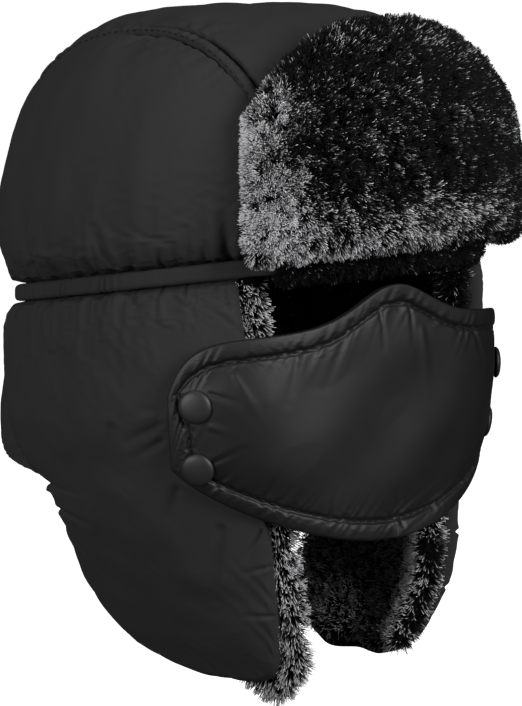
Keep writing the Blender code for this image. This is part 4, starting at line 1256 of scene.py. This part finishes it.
class HAT_OT_mask(bpy.types.Operator):
    """Make the face mask with its stitched hem and its lining"""
    bl_idname = "hat.mask"
    bl_label = "Face mask"

    def execute(self, context):
        cut, cloth = pattern(), context.scene.hat_cloth
        finish = nylon_finish("mask_cloth", cloth.mask, 0.46)
        u, v = np.meshgrid(lines(391), lines(175))
        flat = cut.mask(u, v, 0 * u)
        runs = edge_runs(flat)
        stand = self.relief(cloth, flat, runs) + MASK_FOLD_GAIN * fold_relief(flat, MASK_FOLDS)
        outer = cut.mask(u, v, MASK_OUTSIDE + np.maximum(stand, 0.0004))
        inner = cut.mask(u, v, 0 * u + MASK_INSIDE)
        edge = nearest(*runs.values())
        inside = np.abs(edge - cloth.hem)
        held = 0.5 + 0.5 * (1 - ease(edge / 0.002))
        outer = settle(outer, held, 0.001 + 0.018 * np.exp(-(inside / 0.004) ** 2))
        item = put_on(pad("mask_cloth", outer, inner, finish), "mask", "mask_cloth", "mask_shell", "mask_hem")
        lining = nylon_finish("mask_lining", cloth.mask, 0.6)
        u, v = np.meshgrid(lines(120), lines(60))
        outer, inner = cut.mask(u, v, 0 * u + MASK_LINING_OUTSIDE), cut.mask(u, v, 0 * u)
        put_on(pad("mask_back", outer, inner, lining), "mask", "mask_cloth", "mask_lining")
        self.stitches(cut, cloth)
        return {"FINISHED"}

    def relief(self, cloth, points, runs):
        edge = nearest(*runs.values())
        along = runs["first"] + runs["top"]
        inside = edge - cloth.hem
        body = 0.0022 * (1 - np.exp(-np.maximum(inside, 0) / 0.010)) + 0.0012
        fold = 0.0016 + 0.0006 * np.sin(np.clip(edge / cloth.hem, 0, 1) * math.pi)
        soft = np.where(inside > 0, body, fold)
        groove = -0.0016 * np.exp(-(inside / 0.0011) ** 2)
        pucker = 0.6 * cloth.pucker * folds(along, 0.0080, 111) * np.exp(-np.abs(inside) / 0.0045)
        wave = 0.45 * cloth.crumple * waves(points, 0.055, 113) * ease(inside / 0.02)
        return soft + groove + pucker + wave - rounded(edge, 0.0012)

    def stitches(self, cut, cloth):
        """Stitch line along the inner edge of the hem."""
        t = np.linspace(0, 1, 500)
        zero = 0 * t
        walk = np.concatenate([np.stack([t, zero], 1), np.stack([zero + 1, t], 1),
                               np.stack([1 - t, zero + 1], 1), np.stack([zero, 1 - t], 1)])
        u, v = np.meshgrid(lines(260), lines(130))
        runs = edge_runs(cut.mask(u, v, 0 * u))
        wide = runs["first"][:, -1].mean()
        tall = np.interp(walk[:, 0], lines(260), runs["top"][-1])
        inset_u, inset_v = cloth.hem / wide, cloth.hem / tall
        u = inset_u + (1 - 2 * inset_u) * walk[:, 0]
        v = inset_v + (1 - 2 * inset_v) * walk[:, 1]
        points = cut.mask(u, v, 0.0016 + 0 * u)
        normals = cut.mask(u, v, 0.0026 + 0 * u) - points
        stitch_row("mask_stitches", points, normals, thread(), "mask", "mask_cloth")


class HAT_OT_snaps(bpy.types.Operator):
    """Make the domed snap caps and give the metal behind them its finish"""
    bl_idname = "hat.snaps"
    bl_label = "Snaps"

    def execute(self, context):
        cloth = context.scene.hat_cloth
        cap, metal = cap_finish(cloth.cap), metal_finish(cloth.metal)
        for name, _ in SIDES:
            for level in LEVELS:
                self.cap("snap_cap_" + name + "_" + level, cap)
        for name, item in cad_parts.items():
            if name.startswith(("snap_socket", "snap_stud", "snap_post")):
                item.data.materials.clear()
                item.data.materials.append(metal)
        return {"FINISHED"}

    def cap(self, node, finish):
        """Domed cap with a rolled rim, turned on the axis of its solid."""
        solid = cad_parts[node].data
        spots = np.array([vertex.co for vertex in solid.vertices])
        faces = np.array([[*face.center, *face.normal, face.area] for face in solid.polygons])
        centre = spots.mean(axis=0)
        axis = (faces[:, 3:6] * np.maximum(faces[:, 3:6] @ (centre * [1, 1, 0]), 0)[:, None]
                * faces[:, 6:7]).sum(axis=0)
        axis /= np.linalg.norm(axis)
        heights = (spots - centre) @ axis
        foot = centre + axis * (heights.max() - CAP_HEIGHT)
        build = bmesh.new()
        line = [build.verts.new((r * CAP_RADIUS, 0, z)) for r, z in CAP_OUTLINE]
        edges = [build.edges.new(pair) for pair in zip(line, line[1:])]
        bmesh.ops.spin(build, geom=line + edges, cent=(0, 0, 0), axis=(0, 0, 1), angle=2 * math.pi, steps=64)
        bmesh.ops.remove_doubles(build, verts=build.verts, dist=1e-6)
        bmesh.ops.recalc_face_normals(build, faces=build.faces)
        mesh = bpy.data.meshes.new(node)
        build.to_mesh(mesh)
        build.free()
        mesh.shade_smooth()
        mesh.materials.append(finish)
        item = bpy.data.objects.new(node.replace("snap_cap", "snap_dome"), mesh)
        bpy.context.scene.collection.objects.link(item)
        item.location = foot
        item.rotation_mode = "QUATERNION"
        item.rotation_quaternion = Vector(axis).to_track_quat("Z", "Y")
        put_on(item, "mask", "snap_cap", node)


def face_hat(name, data, azimuth, elevation, distance, centre=(0, 0, 0)):
    """Put a lamp or a camera round the hat, azimuth 0 in front of it, and turn it to the hat."""
    item = bpy.data.objects.new(name, data)
    level = math.cos(elevation)
    away = Vector((math.sin(azimuth) * level, -math.cos(azimuth) * level, math.sin(elevation)))
    item.location = Vector(centre) + away * distance
    item.rotation_euler = (-away).to_track_quat("-Z", "Y").to_euler()
    bpy.context.scene.collection.objects.link(item)
    return item


class HAT_OT_stage(bpy.types.Operator):
    """Make the floor, the backdrop, the lamps and the camera"""
    bl_idname = "hat.stage"
    bl_label = "Stage"

    def execute(self, context):
        scene, stage = context.scene, context.scene.hat_stage
        scene.view_settings.view_transform = "Standard"
        self.floor(stage)
        self.world(scene)
        for name, (azimuth, elevation, size, power) in LAMPS.items():
            data = bpy.data.lights.new(name, "AREA")
            data.energy, data.size = power, size
            face_hat(name, data, math.radians(azimuth), math.radians(elevation), LAMP_DISTANCE)
        data = bpy.data.cameras.new("camera")
        data.lens = stage.lens
        scene.camera = face_hat("camera", data, stage.azimuth, stage.elevation, stage.distance, CAMERA_AIM)
        return {"FINISHED"}

    def floor(self, stage):
        """Pale floor that sweeps up behind the hat, pure white to the camera."""
        low = CAD_BOX[0][2] - FLOOR_DROP
        bend = np.linspace(0, math.pi / 2, 16)
        line = [(-4.0, low)] + [(3.0 + math.sin(a), low + 1 - math.cos(a)) for a in bend] + [(4.0, low + 4)]
        points = [(x, y, z) for x in (-6.0, 6.0) for y, z in line]
        number = len(line)
        faces = [(k, k + 1, number + k + 1, number + k) for k in range(number - 1)]
        finish = Finish("floor", Roughness=0.9, Emission_Strength=1.0)
        finish.set("Base Color", finish.unseen(opaque(stage.floor), DIM_FLOOR))
        finish.set("Emission Color", finish.unseen(WHITE, BLACK))
        sweep = add_mesh("floor", points, faces, finish.material)
        face_out(sweep)
        if sweep.data.polygons[0].normal.z < 0:
            sweep.data.flip_normals()
        sweep.rotation_euler.z = stage.azimuth

    def world(self, scene):
        """White to the camera, dim to the hat."""
        scene.world = bpy.data.worlds.new("studio")
        scene.world.use_nodes = True
        nodes = Nodes(scene.world.node_tree)
        feed(nodes.tree, nodes.tree.nodes["Background"].inputs["Color"], nodes.unseen(WHITE, DIM_WORLD))


OPERATORS = (HAT_OT_stage, HAT_OT_crown, HAT_OT_headband, HAT_OT_skirt, HAT_OT_visor, HAT_OT_mask,
             HAT_OT_snaps)


class HAT_PT_panel(bpy.types.Panel):
    """List the steps that dress the hat"""
    bl_idname = "HAT_PT_panel"
    bl_label = "Trapper hat"
    bl_space_type = "VIEW_3D"
    bl_region_type = "UI"
    bl_category = "Hat"

    def draw(self, context):
        for step in OPERATORS:
            self.layout.operator(step.bl_idname)


GROUPS = {"hat_pattern": HatPattern, "hat_cloth": HatCloth, "hat_fur": HatFur, "hat_stage": HatStage}


def register():
    for name, group in GROUPS.items():
        bpy.utils.register_class(group)
        setattr(bpy.types.Scene, name, bpy.props.PointerProperty(type=group))
    for step in OPERATORS:
        bpy.utils.register_class(step)
    bpy.utils.register_class(HAT_PT_panel)


def unregister():
    bpy.utils.unregister_class(HAT_PT_panel)
    for step in reversed(OPERATORS):
        bpy.utils.unregister_class(step)
    for name, group in GROUPS.items():
        delattr(bpy.types.Scene, name)
        bpy.utils.unregister_class(group)


def main():
    register()
    bpy.ops.hat.stage()
    bpy.ops.hat.crown()
    bpy.ops.hat.headband()
    bpy.ops.hat.skirt()
    bpy.ops.hat.visor()
    bpy.ops.hat.mask()
    bpy.ops.hat.snaps()


if __name__ == "__main__":
    main()
